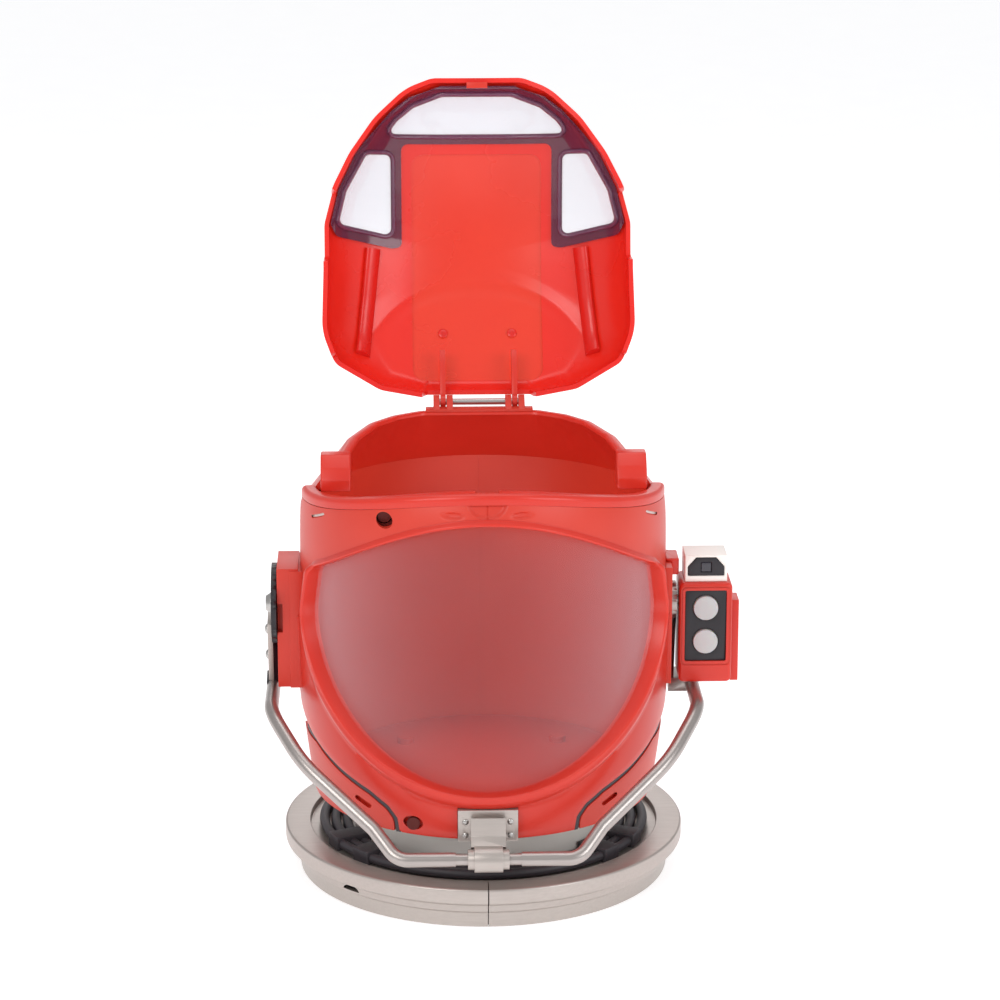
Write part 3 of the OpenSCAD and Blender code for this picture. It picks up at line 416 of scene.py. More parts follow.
def endTree(tree, given, result):
    # every tree ends with real, smooth geometry in one material
    chain = [result]
    for kind in ("GeometryNodeSetShadeSmooth", "GeometryNodeRealizeInstances", "GeometryNodeSetMaterial"):
        step = tree.nodes.new(kind)
        tree.links.new(chain[-1], step.inputs["Geometry"])
        chain.append(step.outputs["Geometry"])
    tree.links.new(given.outputs["Skin"], step.inputs["Material"])
    tree.links.new(chain[-1], tree.nodes.new("NodeGroupOutput").inputs["Geometry"])
    return tree


def sweepTree():
    # oval section carried along every line of the seed
    tree, given, link = newTree("sweptSection", [
        ("Width", "Float", 0.002), ("Height", "Float", 0.002), ("Tilt", "Float", 0.0), ("Sides", "Int", 20),
        ("Skin", "Material", None)])
    line = tree.nodes.new("GeometryNodeMeshToCurve")
    upright = tree.nodes.new("GeometryNodeSetCurveNormal")
    upright.mode = "Z_UP"
    tilt = tree.nodes.new("GeometryNodeSetCurveTilt")
    ring = tree.nodes.new("GeometryNodeCurvePrimitiveCircle")
    ring.inputs["Radius"].default_value = 0.5
    oval = tree.nodes.new("GeometryNodeTransform")
    shape = tree.nodes.new("ShaderNodeCombineXYZ")
    sweep = tree.nodes.new("GeometryNodeCurveToMesh")
    sweep.inputs["Fill Caps"].default_value = True
    link(given.outputs["Geometry"], line.inputs[0])
    link(line.outputs[0], upright.inputs["Curve"])
    link(upright.outputs["Curve"], tilt.inputs["Curve"])
    link(given.outputs["Tilt"], tilt.inputs["Tilt"])
    link(given.outputs["Sides"], ring.inputs["Resolution"])
    link(given.outputs["Width"], shape.inputs["X"])
    link(given.outputs["Height"], shape.inputs["Y"])
    shape.inputs["Z"].default_value = 1
    link(ring.outputs["Curve"], oval.inputs["Geometry"])
    link(shape.outputs["Vector"], oval.inputs["Scale"])
    link(tilt.outputs["Curve"], sweep.inputs["Curve"])
    link(oval.outputs["Geometry"], sweep.inputs["Profile Curve"])
    return endTree(tree, given, sweep.outputs["Mesh"])


def turnTree():
    # section drawn as radius and height, turned round the upright axis
    tree, given, link = newTree("turnedSection", [
        ("Radius", "Float", 0.09), ("Start", "Float", 0.0), ("Sweep", "Float", math.pi), ("Steps", "Int", 160),
        ("Skin", "Material", None)])
    arc = tree.nodes.new("GeometryNodeCurveArc")
    upright = tree.nodes.new("GeometryNodeSetCurveNormal")
    upright.mode = "Z_UP"
    line = tree.nodes.new("GeometryNodeMeshToCurve")
    sweep = tree.nodes.new("GeometryNodeCurveToMesh")
    sweep.inputs["Fill Caps"].default_value = True
    link(given.outputs["Steps"], arc.inputs["Resolution"])
    link(given.outputs["Radius"], arc.inputs["Radius"])
    link(given.outputs["Start"], arc.inputs["Start Angle"])
    link(given.outputs["Sweep"], arc.inputs["Sweep Angle"])
    link(arc.outputs["Curve"], upright.inputs["Curve"])
    link(given.outputs["Geometry"], line.inputs[0])
    link(upright.outputs["Curve"], sweep.inputs["Curve"])
    link(line.outputs[0], sweep.inputs["Profile Curve"])
    return endTree(tree, given, sweep.outputs["Mesh"])


def studTree():
    # domed head on every point of the seed, all facing one way
    tree, given, link = newTree("domedHeads", [
        ("Radius", "Float", 0.002), ("Height", "Float", 0.001), ("Facing", "Vector", (0, 0, 1)),
        ("Skin", "Material", None)])
    ball = tree.nodes.new("GeometryNodeMeshUVSphere")
    ball.inputs["Segments"].default_value = 28
    ball.inputs["Rings"].default_value = 16
    ball.inputs["Radius"].default_value = 1
    shape = tree.nodes.new("ShaderNodeCombineXYZ")
    squash = tree.nodes.new("GeometryNodeTransform")
    aim = tree.nodes.new("FunctionNodeAlignRotationToVector")
    heads = tree.nodes.new("GeometryNodeInstanceOnPoints")
    aim.axis = "Z"
    for label, source in (("X", "Radius"), ("Y", "Radius"), ("Z", "Height")):
        link(given.outputs[source], shape.inputs[label])
    link(ball.outputs["Mesh"], squash.inputs["Geometry"])
    link(shape.outputs["Vector"], squash.inputs["Scale"])
    link(given.outputs["Facing"], aim.inputs["Vector"])
    link(given.outputs["Geometry"], heads.inputs["Points"])
    link(squash.outputs["Geometry"], heads.inputs["Instance"])
    link(aim.outputs["Rotation"], heads.inputs["Rotation"])
    return endTree(tree, given, heads.outputs["Instances"])


trees = {"sweep": sweepTree(), "turn": turnTree(), "stud": studTree()}


def grown(name, kind, points, edges, skin, **sizes):
    # a tree run on a seed of points and lines given in millimetres, kept as a plain mesh
    seed = bpy.data.meshes.new(name)
    seed.from_pydata([tuple(float(v) * mm for v in p) for p in points], edges, [])
    piece = bpy.data.objects.new(name, seed)
    bpy.context.scene.collection.objects.link(piece)
    growth = piece.modifiers.new("growth", "NODES")
    growth.node_group = trees[kind]
    sizes["Skin"] = finishes[skin]
    for item in trees[kind].interface.items_tree:
        if item.in_out == "INPUT" and item.name in sizes:
            growth[item.identifier] = sizes[item.name]
    applied(piece)
    work = bmesh.new()
    work.from_mesh(piece.data)
    bmesh.ops.recalc_face_normals(work, faces=work.faces)
    work.to_mesh(piece.data)
    work.free()
    return piece


def lines(paths, closed=False):
    # points and edges of several lines put into one seed
    points, edges = [], []
    for path in paths:
        first, count = len(points), len(path)
        points += list(path)
        edges += [(first + i, first + i + 1) for i in range(count - 1)]
        if closed:
            edges.append((first + count - 1, first))
    return points, edges


def turned(name, section, skin, start, sweep, steps):
    radius = sum(r for r, z in section) / len(section)
    points, edges = lines([[(r - radius, -z, 0) for r, z in section]], closed=True)
    return grown(name, "turn", points, edges, skin, Radius=radius * mm, Start=math.radians(start),
                 Sweep=math.radians(sweep), Steps=steps)


def ride(piece, body, slot, *nodes):
    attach(piece, body)
    if nodes:
        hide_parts(*nodes)
    return piece


def softened(name, width, segments=3, angle=30, sharp=40):
    # bevelled copy of a CAD part, in its place
    source = frame["nodes"][name]
    mesh = source.data.copy()
    work = bmesh.new()
    work.from_mesh(mesh)
    bmesh.ops.remove_doubles(work, verts=work.verts, dist=2e-6)
    bmesh.ops.dissolve_limit(work, angle_limit=math.radians(0.8), verts=work.verts, edges=work.edges)
    work.to_mesh(mesh)
    work.free()
    piece = bpy.data.objects.new(name + "_skin", mesh)
    bpy.context.scene.collection.objects.link(piece)
    dress(piece, slotOf[name], sharp)
    bevelled(piece, width, segments, angle, sharp)
    return ride(piece, bodyOf[name], slotOf[name], name)


softenedParts = {
    0.9: ["ear_block_left", "ear_block_right", "side_guard", "lamp_bracket"],
    0.5: ["latch_plate", "bail_hub_left", "bail_arm_right", "bail_plate_left", "hose_couplings", "camera_block",
          "hinge_strap_left", "hinge_strap_right", "hinge_bracket", "snap_tab", "lamp_button_upper",
          "lamp_button_lower"],
    0.25: ["camera_face", "camera_window", "lamp_face", "lamp_cover", "pivot_pin_left", "latch_buckle"],
}
for width, names in softenedParts.items():
    for name in names:
        softened(name, width)
print("small parts have their edges")


# ---- the helmet: shell halves, rim collar, face frame, visor and cheeks ----

shellLow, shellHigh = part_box("shell_left")
shellSizes = dict(widest=-shellLow.x / mm, foot=shellLow.z / mm, rim=shellHigh.z / mm + 5, belly=0.6, footIn=7.5,
                  browIn=7.0, wall=2.5, rimDip=15.0, lip=5.0, splitY=-8.0, shoulder=26.0, seam=0.006, flange=70.0)
openingSizes = dict(halfWidth=81.5, middle=135.0, bottom=62.0, top=190.0, cornerX=78.5, cornerDrop=33.0)
frameSizes = dict(sideCrest=4.4, topCrest=1.5, sideWidth=4.6, topWidth=3.0, bottomWidth=7.2,
                  sunk=-4.4, flange=0.9, chinLow=1.9, chinHigh=2.9, longest=42.0)
thumbSizes = dict(x=0.0, z=199.5, wide=9.0, high=6.8, depth=1.5)
dentSizes = dict(x=15.5, z=194.2, wide=5.4, high=1.6, depth=1.2)
ventSizes = dict(x=76.5, z=182.0, corner=0.7)
screwSizes = dict(x=-46, z=189.4, hole=3.7, outside=5.2, middle=0.4, front=-62.5, floor=-58.2, back=-56.2)
flankHole = dict(x=74.5, z=82, wide=0.9, high=2.4)
chinHole = dict(x=-34, z=46.4, wide=4.5, high=3.4)
latchPocket = dict(half=13.9, low=40.3, high=55.9)


def bodyRadius(z):
    s = shellSizes
    z = np.asarray(z, float)
    belly = s["foot"] + s["belly"] * (s["rim"] - s["foot"])
    below = np.clip((belly - z) / (belly - s["foot"]), 0, None)
    above = np.clip((z - belly) / (s["rim"] - belly), 0, None)
    return s["widest"] - s["footIn"] * below ** 2.2 - s["browIn"] * above ** 5


def frontRim(x):
    return shellSizes["rim"] - shellSizes["rimDip"] * (np.asarray(x) / (shellSizes["widest"] - 8)) ** 2


def rolled(a, z, height):
    # a point given by its distance round the shell from the front and its height, standing off the surface
    r = bodyRadius(z)
    turn = a / r
    return np.stack([(r + height) * np.sin(turn), -(r + height) * np.cos(turn), z + 0 * a], -1)


def unrolled(x, z):
    r = bodyRadius(z)
    return r * np.arcsin(np.clip(x / r, -1, 1))


def evenly(points, count, closed=True):
    points = np.asarray(points, float)
    if closed:
        points = np.vstack([points, points[:1]])
    along = np.concatenate([[0], np.cumsum(np.linalg.norm(np.diff(points, axis=0), axis=1))])
    spots = np.linspace(0, along[-1], count, endpoint=not closed)
    return np.stack([np.interp(spots, along, points[:, i]) for i in range(points.shape[1])], -1)


def eased(points, passes):
    for _ in range(passes):
        points = (np.roll(points, 1, 0) + 2 * points + np.roll(points, -1, 0)) / 4
    return points


def outwards(points):
    # unit normals of an anticlockwise closed outline
    along = np.roll(points, -1, 0) - np.roll(points, 1, 0)
    normal = np.stack([along[:, 1], -along[:, 0]], -1)
    return normal / np.linalg.norm(normal, axis=1)[:, None]


def smooth(value, low, high):
    t = np.clip((np.asarray(value, float) - low) / (high - low), 0, 1)
    return t * t * (3 - 2 * t)


def openingOutline(count=360):
    s = openingSizes
    lower = [(s["halfWidth"] * math.cos(t), s["middle"] + (s["middle"] - s["bottom"]) * math.sin(t))
             for t in np.radians(np.arange(180, 361, 3))]
    upper = [(x, s["top"] - s["cornerDrop"] * (x / s["cornerX"]) ** 2)
             for x in np.linspace(s["cornerX"], -s["cornerX"], 40)]
    return np.array(lower + upper)


def ridges(x, z):
    # shallow recess for the thumb and a dent each side of it in the brow
    def hollow(s, middle, flat, edge):
        return s["depth"] * (1 - smooth(np.hypot((x - middle) / s["wide"], (z - s["z"]) / s["high"]), flat, edge))

    depth = hollow(thumbSizes, thumbSizes["x"], 0.8, 1.06)
    for side in (-1, 1):
        depth = depth + hollow(dentSizes, side * dentSizes["x"], 0.4, 1.1)
    return -depth


def makeShellHalf(name, side):
    s = shellSizes
    seam = math.degrees(s["seam"] / s["widest"])
    split = 90 + math.degrees(math.asin(s["splitY"] / 79.5))
    turns = np.concatenate([[seam, 0.3], np.linspace(0.5, 24, 58), np.arange(25, split - 0.4, 1.0),
                            [split, split + 0.06], np.arange(split + 0.6, 179, 1.5), [180 - seam]])
    loops = []
    for turn in np.radians(turns) * side:
        x = s["widest"] * 0.93 * math.sin(turn)
        high = float(frontRim(x)) - s["lip"] if abs(turn) < math.radians(split + 0.03) else s["rim"] - s["shoulder"]
        z = np.concatenate([np.linspace(s["foot"] + 0.5, high - 14, 40), np.linspace(high - 13.5, high, 28)])
        r = bodyRadius(z)
        out = r + (ridges(r * math.sin(turn), z) if abs(turn) < math.radians(30) else 0)
        out = out - (0.35 if abs(turn) < math.radians(0.2) else 0)
        outer = [(bodyRadius(s["foot"]) - 0.5, s["foot"])] + list(zip(out, z))
        inner = [(a - s["wall"], b) for a, b in zip(out[::-2], z[::-2]) if b > s["foot"] + 4.5]
        foot = [(bodyRadius(s["foot"]) - s["wall"], s["foot"] + 2.0), (s["flange"], s["foot"] + 2.0),
                (s["flange"], s["foot"])]
        loops.append([(float(p) * math.sin(turn), -float(p) * math.cos(turn), float(q))
                      for p, q in outer + inner + foot])
    piece = loopPiece(name, loops, "shell_red", around=False, caps=True)
    hole = openingOutline()
    hole = hole + 0.6 * outwards(hole)
    carve(piece, prism(hole, -120, 0))
    # vent each side of the brow, level when seen from the front, with a pale strip behind it
    v = ventSizes
    slot = rounded([(-3.0, 1.6), (3.0, -2.8), (3.0, -1.2), (-3.0, 3.2)], v["corner"]) * [side, 1]
    slot = slot + [side * v["x"], v["z"]]
    carve(piece, prism(slot, -60, -15))
    strip = bandPiece("vent_strip_%d" % (side > 0), (85, 115), lambda a: v["z"] - 6 + 0 * a,
                      lambda a: v["z"] + 6 + 0 * a, (-0.9, -1.9), "neck_white", side)
    ride(carve(strip, prism(slot, -60, -15), "INTERSECT"), "root", "neck_white")
    if side < 0:
        carve(piece, prism(oval(screwSizes["x"], screwSizes["z"], screwSizes["hole"], screwSizes["hole"]), -90, -50))
    # small oval hole low on the flank
    h = flankHole
    carve(piece, prism(oval(side * h["x"], h["z"], h["wide"], h["high"]), -60, -15))
    return piece


collarSizes = dict(deck=5.0, lobeNear=61.5, lobeFar=75.5, lobeTop=0.5, corner=5.0, lip=79.0,
                   mouth=[(27, 66), (39, 58), (49, 45), (58, 19), (62, -8)])


def shoulderLoops(low, foot, drawnIn, count=150):
    # the shoulder narrows from the round shell to the outline of the mouth
    c = collarSizes
    line = c["mouth"][::-1] + [(-x, y) for x, y in c["mouth"]]
    line = rounded(line, c["corner"], 6, closed=False)
    line = evenly(line, count, closed=False)
    along = np.gradient(line, axis=0)
    normal = np.stack([along[:, 1], -along[:, 0]], -1)
    normal /= np.linalg.norm(normal, axis=1)[:, None]
    high = shellSizes["rim"]
    loops = []
    start = math.asin(shellSizes["splitY"] / foot)
    for step, ((x, y), (nx, ny)) in enumerate(zip(line, normal)):
        turn = start + (math.pi - 2 * start) * step / (count - 1)
        bx, by = math.cos(turn), math.sin(turn)
        d = c["deck"]
        far = np.array([x + d * nx, y + d * ny, high])
        base = np.array([foot * bx, foot * by, low])
        slope = (base - far) / np.linalg.norm(base - far)
        near = np.array([x, y, high])
        inner = np.array([(foot - drawnIn) * bx, (foot - drawnIn) * by, low])
        loops.append([base, base - slope * 12, far + slope * 2.2, far + slope * 0.7 - [0, 0, 0.15],
                      far - [0.8 * nx, 0.8 * ny, 0.05], far - [1.8 * nx, 1.8 * ny, 0], near + [1.4 * nx, 1.4 * ny, 0],
                      near + [0.4 * nx, 0.4 * ny, -0.35], near - [0, 0, 1.3],
                      near + (inner - near) * 0.3, near + (inner - near) * 0.7, inner])
    return loops


def makeRimCollar():
    s, c = shellSizes, collarSizes
    low = s["rim"] - s["shoulder"]
    foot = float(bodyRadius(low))
    ride(loopPiece("rim_collar_skin", shoulderLoops(low, foot, s["wall"]), "trim_red", around=False, caps=True),
         "root", "trim_red", "rim_collar")
    # rolled lip over the brow
    split = 90 + math.degrees(math.asin(s["splitY"] / c["lip"]))
    loops = []
    for turn in np.radians(np.linspace(-split, split, 190)):
        side, front = math.sin(turn), math.cos(turn)
        high = float(frontRim(side * c["lip"]))
        outer = float(bodyRadius(high - s["lip"])) + 0.12
        inner = float(bodyRadius(high)) - 6
        outline = rounded([(inner, high - s["lip"]), (outer, high - s["lip"]), (outer, high), (inner, high)],
                          [0.8, 0.15, 2.4, 1.8], 5)
        loops.append([(r * side, -r * front, z) for r, z in outline])
    lip = loopPiece("rim_lip", loops, "trim_red", around=False, caps=True)
    box = rounded([(-5.4, -78.2), (5.4, -78.2), (5.4, -60), (-5.4, -60)], 0.4, 2)
    ride(carve(lip, prism(box, s["rim"] - 3.4, s["rim"] + 6, "z")), "root", "trim_red")
    for side, word in ((-1, "left"), (1, "right")):
        top = s["rim"] + c["lobeTop"]
        y = s["splitY"]
        flank = [(y - 13.5, s["rim"] - 15), (y - 1, s["rim"] - 15), (y + 4.5, s["rim"] - 5), (y + 4.5, s["rim"] - 1),
                 (y + 1.5, top), (y - 5, top), (y - 10, s["rim"] - 4.5), (y - 13.5, s["rim"] - 9.5)]
        ends = sorted((side * c["lobeNear"], side * c["lobeFar"]))
        lobe = prism(rounded(flank, [1, 1, 2, 0, 1.6, 2.4, 5, 2], 4), *ends, "x")
        lobe.name = "rim_lobe_" + word
        dress(lobe, "trim_red")
        ride(bevelled(lobe, 0.9, 3), "root", "trim_red")
        corners = [(82.0, 0.2), (81.4, 5), (76.0, 7.6), (74.8, 9.4)]
        web = prism([(side * x, low + up) for x, up in corners], y - 3, y - 0.1)
        web.name = "rim_web_" + word
        ride(dress(web, "trim_red"), "root", "trim_red")


cheekLine = [(39, 40), (40, 47), (44, 52.5), (52, 58), (65, 64), (77, 72.5)]
cheekPath = np.array([(float(unrolled(x, z)), z) for x, z in cheekLine])


def makeFaceFrame():
    s, f = openingSizes, frameSizes
    flat = openingOutline()
    path = np.stack([unrolled(flat[:, 0], flat[:, 1]), flat[:, 1]], -1)
    path = eased(evenly(path, 420), 6)
    out = outwards(path)
    low = smooth(-out[:, 1], 0.35, 0.8)
    high = smooth(out[:, 1], 0.25, 0.85)
    crest = f["sideCrest"] + (f["topCrest"] - f["sideCrest"]) * high
    width = f["sideWidth"] + (f["topWidth"] - f["sideWidth"]) * high + (f["bottomWidth"] - f["sideWidth"]) * low
    foot = shellSizes["foot"]
    corners = np.vstack([cheekPath[:-1], cheekPath[-2] + (cheekPath[-1] - cheekPath[-2]) * 4])
    loops = []
    for (a, z), (na, nz), c, w in zip(path, out, crest, width):
        side = 1 if a >= 0 else -1
        reach = w
        if nz < -0.05:
            reach = (z - foot) / -nz
            for near, far in zip(corners[:-1] * [side, 1], corners[1:] * [side, 1]):
                line = far - near
                turnBy = na * line[1] - nz * line[0]
                if abs(turnBy) < 1e-6:
                    continue
                hit = ((near[0] - a) * line[1] - (near[1] - z) * line[0]) / turnBy
                share = ((near[0] - a) * nz - (near[1] - z) * na) / turnBy
                if hit > 0 and 0 <= share <= 1:
                    reach = min(reach, hit)
            reach = w + max(0.0, min(reach, f["longest"]) - w) * float(smooth(-nz, 0.12, 0.4))
        chin = float(smooth(reach - w, 0.5, 5))
        section = [(0, f["sunk"]), (0, c - 1.3), (0.12, c - 0.6), (0.5, c - 0.15), (1.1, c), (w * 0.42, c - 0.05),
                   (w * 0.6, c - 0.35), (w * 0.8, c * (1 - 0.42 * (1 - 0.3 * chin)) - 0.3),
                   (w, chin * f["chinLow"] + (1 - chin) * 0.3)]
        ends = chin * f["chinHigh"] + (1 - chin) * 0.1
        for share in (0.12, 0.3, 0.5, 0.75, 0.93):
            section.append((w + (reach - w) * share,
                            section[8][1] + (ends - section[8][1]) * math.sin(share * math.pi / 2)))
        section += [(reach - 0.25 * chin, ends - 0.35 * chin), (reach, ends - 0.9 * chin), (reach, -0.3),
                    (f["flange"], -0.3), (f["flange"], f["sunk"])]
        loops.append([rolled(np.array(a + na * d), np.array(z + nz * d), h) for d, h in section])
    piece = loopPiece("face_frame_skin", loops, "trim_red", around=True)
    carve(piece, prism(oval(*chinHole.values()), -90, -60))
    half, low, high = latchPocket.values()
    return carve(piece, prism([(-half, low), (half, low), (half, high), (-half, high)], -95, -70))


def makeVisor():
    flat = openingOutline()
    path = np.stack([unrolled(flat[:, 0], flat[:, 1]), flat[:, 1]], -1)
    path = eased(evenly(path, 240), 4)
    path = path + 2.6 * outwards(path)
    middle = path.mean(0)
    grids = []
    for height in (-2.65, -4.3):
        rings = [middle + (path - middle) * share for share in np.linspace(0, 1, 30)]
        grids.append(np.stack([rolled(ring[:, 0], ring[:, 1], height) for ring in rings]))
    return wallPiece("visor_pane", grids[0], grids[1], "clear_pane", around=True)


def bandPiece(name, starts, low, high, heights, skin, side, columns=70):
    # patch of the flank between two edges given as functions of the distance round the shell
    a = np.linspace(starts[0], starts[1], columns)
    grids = []
    for height in heights:
        rows = [rolled(a, low(a) + (high(a) - low(a)) * share, height) for share in np.linspace(0, 1, 8)]
        grids.append(np.stack(rows) * np.array([side, 1, 1]))
    return wallPiece(name, grids[0], grids[1], skin)


def cheekEdge(inset):
    # the edge between frame and cheek, moved towards the cheek
    path = np.vstack([cheekPath, [cheekPath[-1] + [60, 2]]])
    path = evenly(rounded(path, [0, 6, 6, 10, 10, 4, 0], 5, closed=False), 160, closed=False)
    along = np.gradient(path, axis=0)
    path = path + inset * np.stack([along[:, 1], -along[:, 0]], -1) / np.linalg.norm(along, axis=1)[:, None]
    return lambda a: np.interp(a, path[:, 0], path[:, 1])


slotSizes = dict(x=57.0, z=51.0, half=4.0, halfHeight=1.3, corner=1.2, tilt=24)


def makeCheeks(side, word):
    foot = shellSizes["foot"]
    edge, inner, outer = cheekEdge(2.6), cheekEdge(0.2), cheekEdge(2.5)
    bottom = lambda a: foot + 0 * a
    first = cheekPath[0][0] + 3.2
    panel = bandPiece("cheek_panel_" + word, (first, 127), bottom, edge, (2.1, 0.12), "shell_red", side, 110)
    bevelled(panel, 0.7, 3, 50)
    s = slotSizes
    w, h = s["half"], s["halfHeight"]
    slot = rounded([(-w, -h), (w, -h), (w, h), (-w, h)], s["corner"])
    tilt = math.radians(s["tilt"]) * side
    spin = np.array([[math.cos(tilt), math.sin(tilt)], [-math.sin(tilt), math.cos(tilt)]])
    carve(panel, prism(slot @ spin + np.array([side * s["x"], s["z"]]), -75, -45))
    ride(panel, "root", "shell_red", "cheek_panel_" + word)
    seal = bandPiece("cheek_seal_" + word, (cheekPath[0][0] + 0.3, 118), outer, inner, (1.5, 0.12),
                     "hose_black", side, 150)
    ride(seal, "root", "hose_black", "cheek_seal_" + word)


def makeScrewCup():
    # cup that the brow screw sits in, in the darkened red that paints the shade of its recess
    s = screwSizes
    section = [(s["outside"], s["front"]), (s["outside"], s["back"]), (s["middle"], s["back"]),
               (s["middle"], s["floor"]), (s["hole"], s["floor"]), (s["hole"], s["front"])]
    loops = [[(s["x"] + r * math.cos(t), y, s["z"] + r * math.sin(t)) for r, y in section]
             for t in np.radians(np.arange(0, 360, 12))]
    return loopPiece("brow_cup", loops, "screw_painted_shade")


for side, word in ((-1, "left"), (1, "right")):
    ride(makeShellHalf("shell_" + word + "_skin", side), "root", "shell_red", "shell_" + word)
    makeCheeks(side, word)
makeRimCollar()
ride(makeScrewCup(), "root", "shell_red")
ride(makeFaceFrame(), "root", "trim_red", "face_frame")
ride(makeVisor(), "root", "clear_pane", "visor")
print("helmet is built")


# ---- the lid, shaped closed and swung open ----

lidSizes = dict(depth=38.0, gap=0.8, wall=2.2, setBack=6.0, creaseY=19.0, creaseZ=37.0, rearY=70.0,
                rearZ=14.0, open=102.0, hingeY=77.0, hingeUp=2.5, insertWall=1.4)
lidHalf = [(22, -80), (35, -75), (50, -61), (62, -44), (70.5, -27), (75, -10), (75, 12), (76, 42), (70, 58),
           (48, 71), (26, 75)]
windowFront = [(17, -71.8), (31, -66.5), (39, -60), (44, -53.5)]
windowSide = [(42, -44), (54, -44), (64, -26), (68, -10), (42, -4)]
insertHalf = [(18, -76.3), (33, -71), (41, -65), (47, -58.5), (58, -46), (67.5, -27), (71.5, -10), (69, -4),
              (42, 2), (37, 1.5), (37, -49)]
panelSizes = dict(halfWidth=32.0, front=-44.0, rear=67.0, corner=6.0, depth=1.4)


def mirroredLoop(half):
    return list(half) + [(-x, y) for x, y in half[::-1]]


windows = [mirroredLoop(windowFront), windowSide, [(-x, y) for x, y in windowSide[::-1]]]


def swungOpen(piece):
    s = lidSizes
    hinge = Vector((0, s["hingeY"] * mm, (shellSizes["rim"] + s["hingeUp"]) * mm))
    piece.data.transform(Matrix.Translation(hinge) @ Matrix.Rotation(math.radians(-s["open"]), 4, "X")
                         @ Matrix.Translation(-hinge))
    return piece


lidCorners = [14, 30, 40, 40, 40, 14, 40, 30, 9, 12, 8]
lidOutline = evenly(rounded(mirroredLoop(lidHalf), lidCorners + lidCorners[::-1], 8), 420)


def rearSlope(y, inset):
    # flat run of the crown behind the crease, falling to the hinge
    s = lidSizes
    return s["creaseZ"] - inset - (y - s["creaseY"]) * (s["creaseZ"] - s["rearZ"]) / (s["rearY"] - s["creaseY"])


def crownRing(inset, t):
    # one level of the crown: an oval cap over the outline, with a soft crease towards the hinge
    s = lidSizes
    t = np.asarray(t, float)
    plan = lidOutline - inset * outwards(lidOutline)
    k = np.cos(t)
    x, y = k * plan[:, 0], k * plan[:, 1] + s["setBack"] * (1 - k)
    z = (s["depth"] - inset) * np.sin(t)
    rear = rearSlope(y, inset)
    blend = np.clip(0.5 + (z - rear) / 5, 0, 1)
    z = z + (np.minimum(z, rear) - z) * blend - 0.6 * blend * (1 - blend)
    z = z + shellSizes["rim"] + s["gap"]
    return np.stack([x, y, z], -1)


def lidFoot():
    # height of the lower edge at each point of the outline
    s, rim = lidSizes, shellSizes["rim"]
    x, y = np.abs(lidOutline[:, 0]), lidOutline[:, 1]
    base = rim + s["gap"] + 0 * x
    front = np.maximum(frontRim(x) + s["gap"], rim - 18)
    z = base + (front - base) * (1 - smooth(y, -26, -24.6))
    z = z + (rim + 4.6 - z) * smooth(y, -25.6, -24.6) * (1 - smooth(y, 6.4, 7.4))
    z = z + (rim - 7 - z) * smooth(y, 7.0, 8.2) * (1 - smooth(y, 53.5, 55))
    return z + (rim + 8 - z) * (1 - smooth(x, 26.4, 27.4)) * (y > 0)


def crownSolid(inset):
    levels = np.concatenate([[0], np.linspace(0.03, math.pi / 2 - 0.02, 40)])
    rings = [crownRing(inset, t) for t in levels]
    rings[0] = rings[0] - [0, 0, 3]
    return loopPiece("knife", rings, "trim_red", around=False, caps=True)


def makeLidShell():
    s = lidSizes
    foot = lidFoot()
    base = shellSizes["rim"] + s["gap"]
    start = np.arcsin(np.clip((foot - base) / s["depth"], 0, 0.6))
    grids = []
    for inset in (0.0, s["wall"]):
        rows = []
        for share in (0, 0.5, 1):
            ring = crownRing(inset, start)
            ring[:, 2] = foot + (np.maximum(ring[:, 2], foot) - foot) * share
            rows.append(ring)
        for step in np.linspace(0.02, 1, 52):
            rows.append(crownRing(inset, start + (math.pi / 2 - start) * step))
        grids.append(np.stack(rows))
    piece = wallPiece("lid_shell_skin", grids[0], grids[1], "lid_red", around=True)
    for outline in windows:
        carve(piece, prism(rounded(outline, 3.0), 180, 260, "z"))
    p = panelSizes
    panel = rounded([(-p["halfWidth"], p["front"]), (p["halfWidth"], p["front"]), (p["halfWidth"], p["rear"]),
                     (-p["halfWidth"], p["rear"])], p["corner"], 6)
    carve(piece, carve(crownSolid(s["wall"] - p["depth"]), prism(panel, 190, 260, "z"), "INTERSECT"))
    return ride(swungOpen(piece), "lid", "trim_red", "lid_shell")


def crownHeight(x, y, inset):
    # height of the crown over a point of its plan
    s = lidSizes
    turns = np.arctan2(lidOutline[:, 1], lidOutline[:, 0])
    order = np.argsort(turns)
    reach = np.hypot(*(lidOutline - inset * outwards(lidOutline)).T)[order]
    low, high = 0.001, 1.0
    for _ in range(30):
        k = (low + high) / 2
        px, py = x / k, (y - s["setBack"] * (1 - k)) / k
        inside = math.hypot(px, py) <= np.interp(math.atan2(py, px), turns[order], reach)
        low, high = (low, k) if inside else (k, high)
    z = (s["depth"] - inset) * math.sqrt(max(0, 1 - low * low))
    return min(z, rearSlope(y, inset)) + shellSizes["rim"] + s["gap"]


ribSizes = dict(width=8.6, height=4.6, inset=3.3, start=(51.0, 2.0), end=(56.5, 54.0), tilt=0.72)
ejectorSizes = dict(x=17, y=44, inset=1.5, radius=2.4, height=0.5, facing=(0, -0.41, -0.91))


def makeRibs():
    r = ribSizes
    for side in (-1, 1):
        plan = [np.array(r["start"]) + (np.array(r["end"]) - r["start"]) * t for t in np.linspace(0, 1, 30)]
        path = [(side * x, y, crownHeight(x, y, r["inset"])) for x, y in plan]
        rib = grown("lid_rib_%d" % side, "sweep", *lines([path]), "lid_red", Width=r["width"] * mm,
                    Height=r["height"] * mm, Tilt=side * r["tilt"], Sides=28)
        ride(swungOpen(rib), "lid", "trim_red")


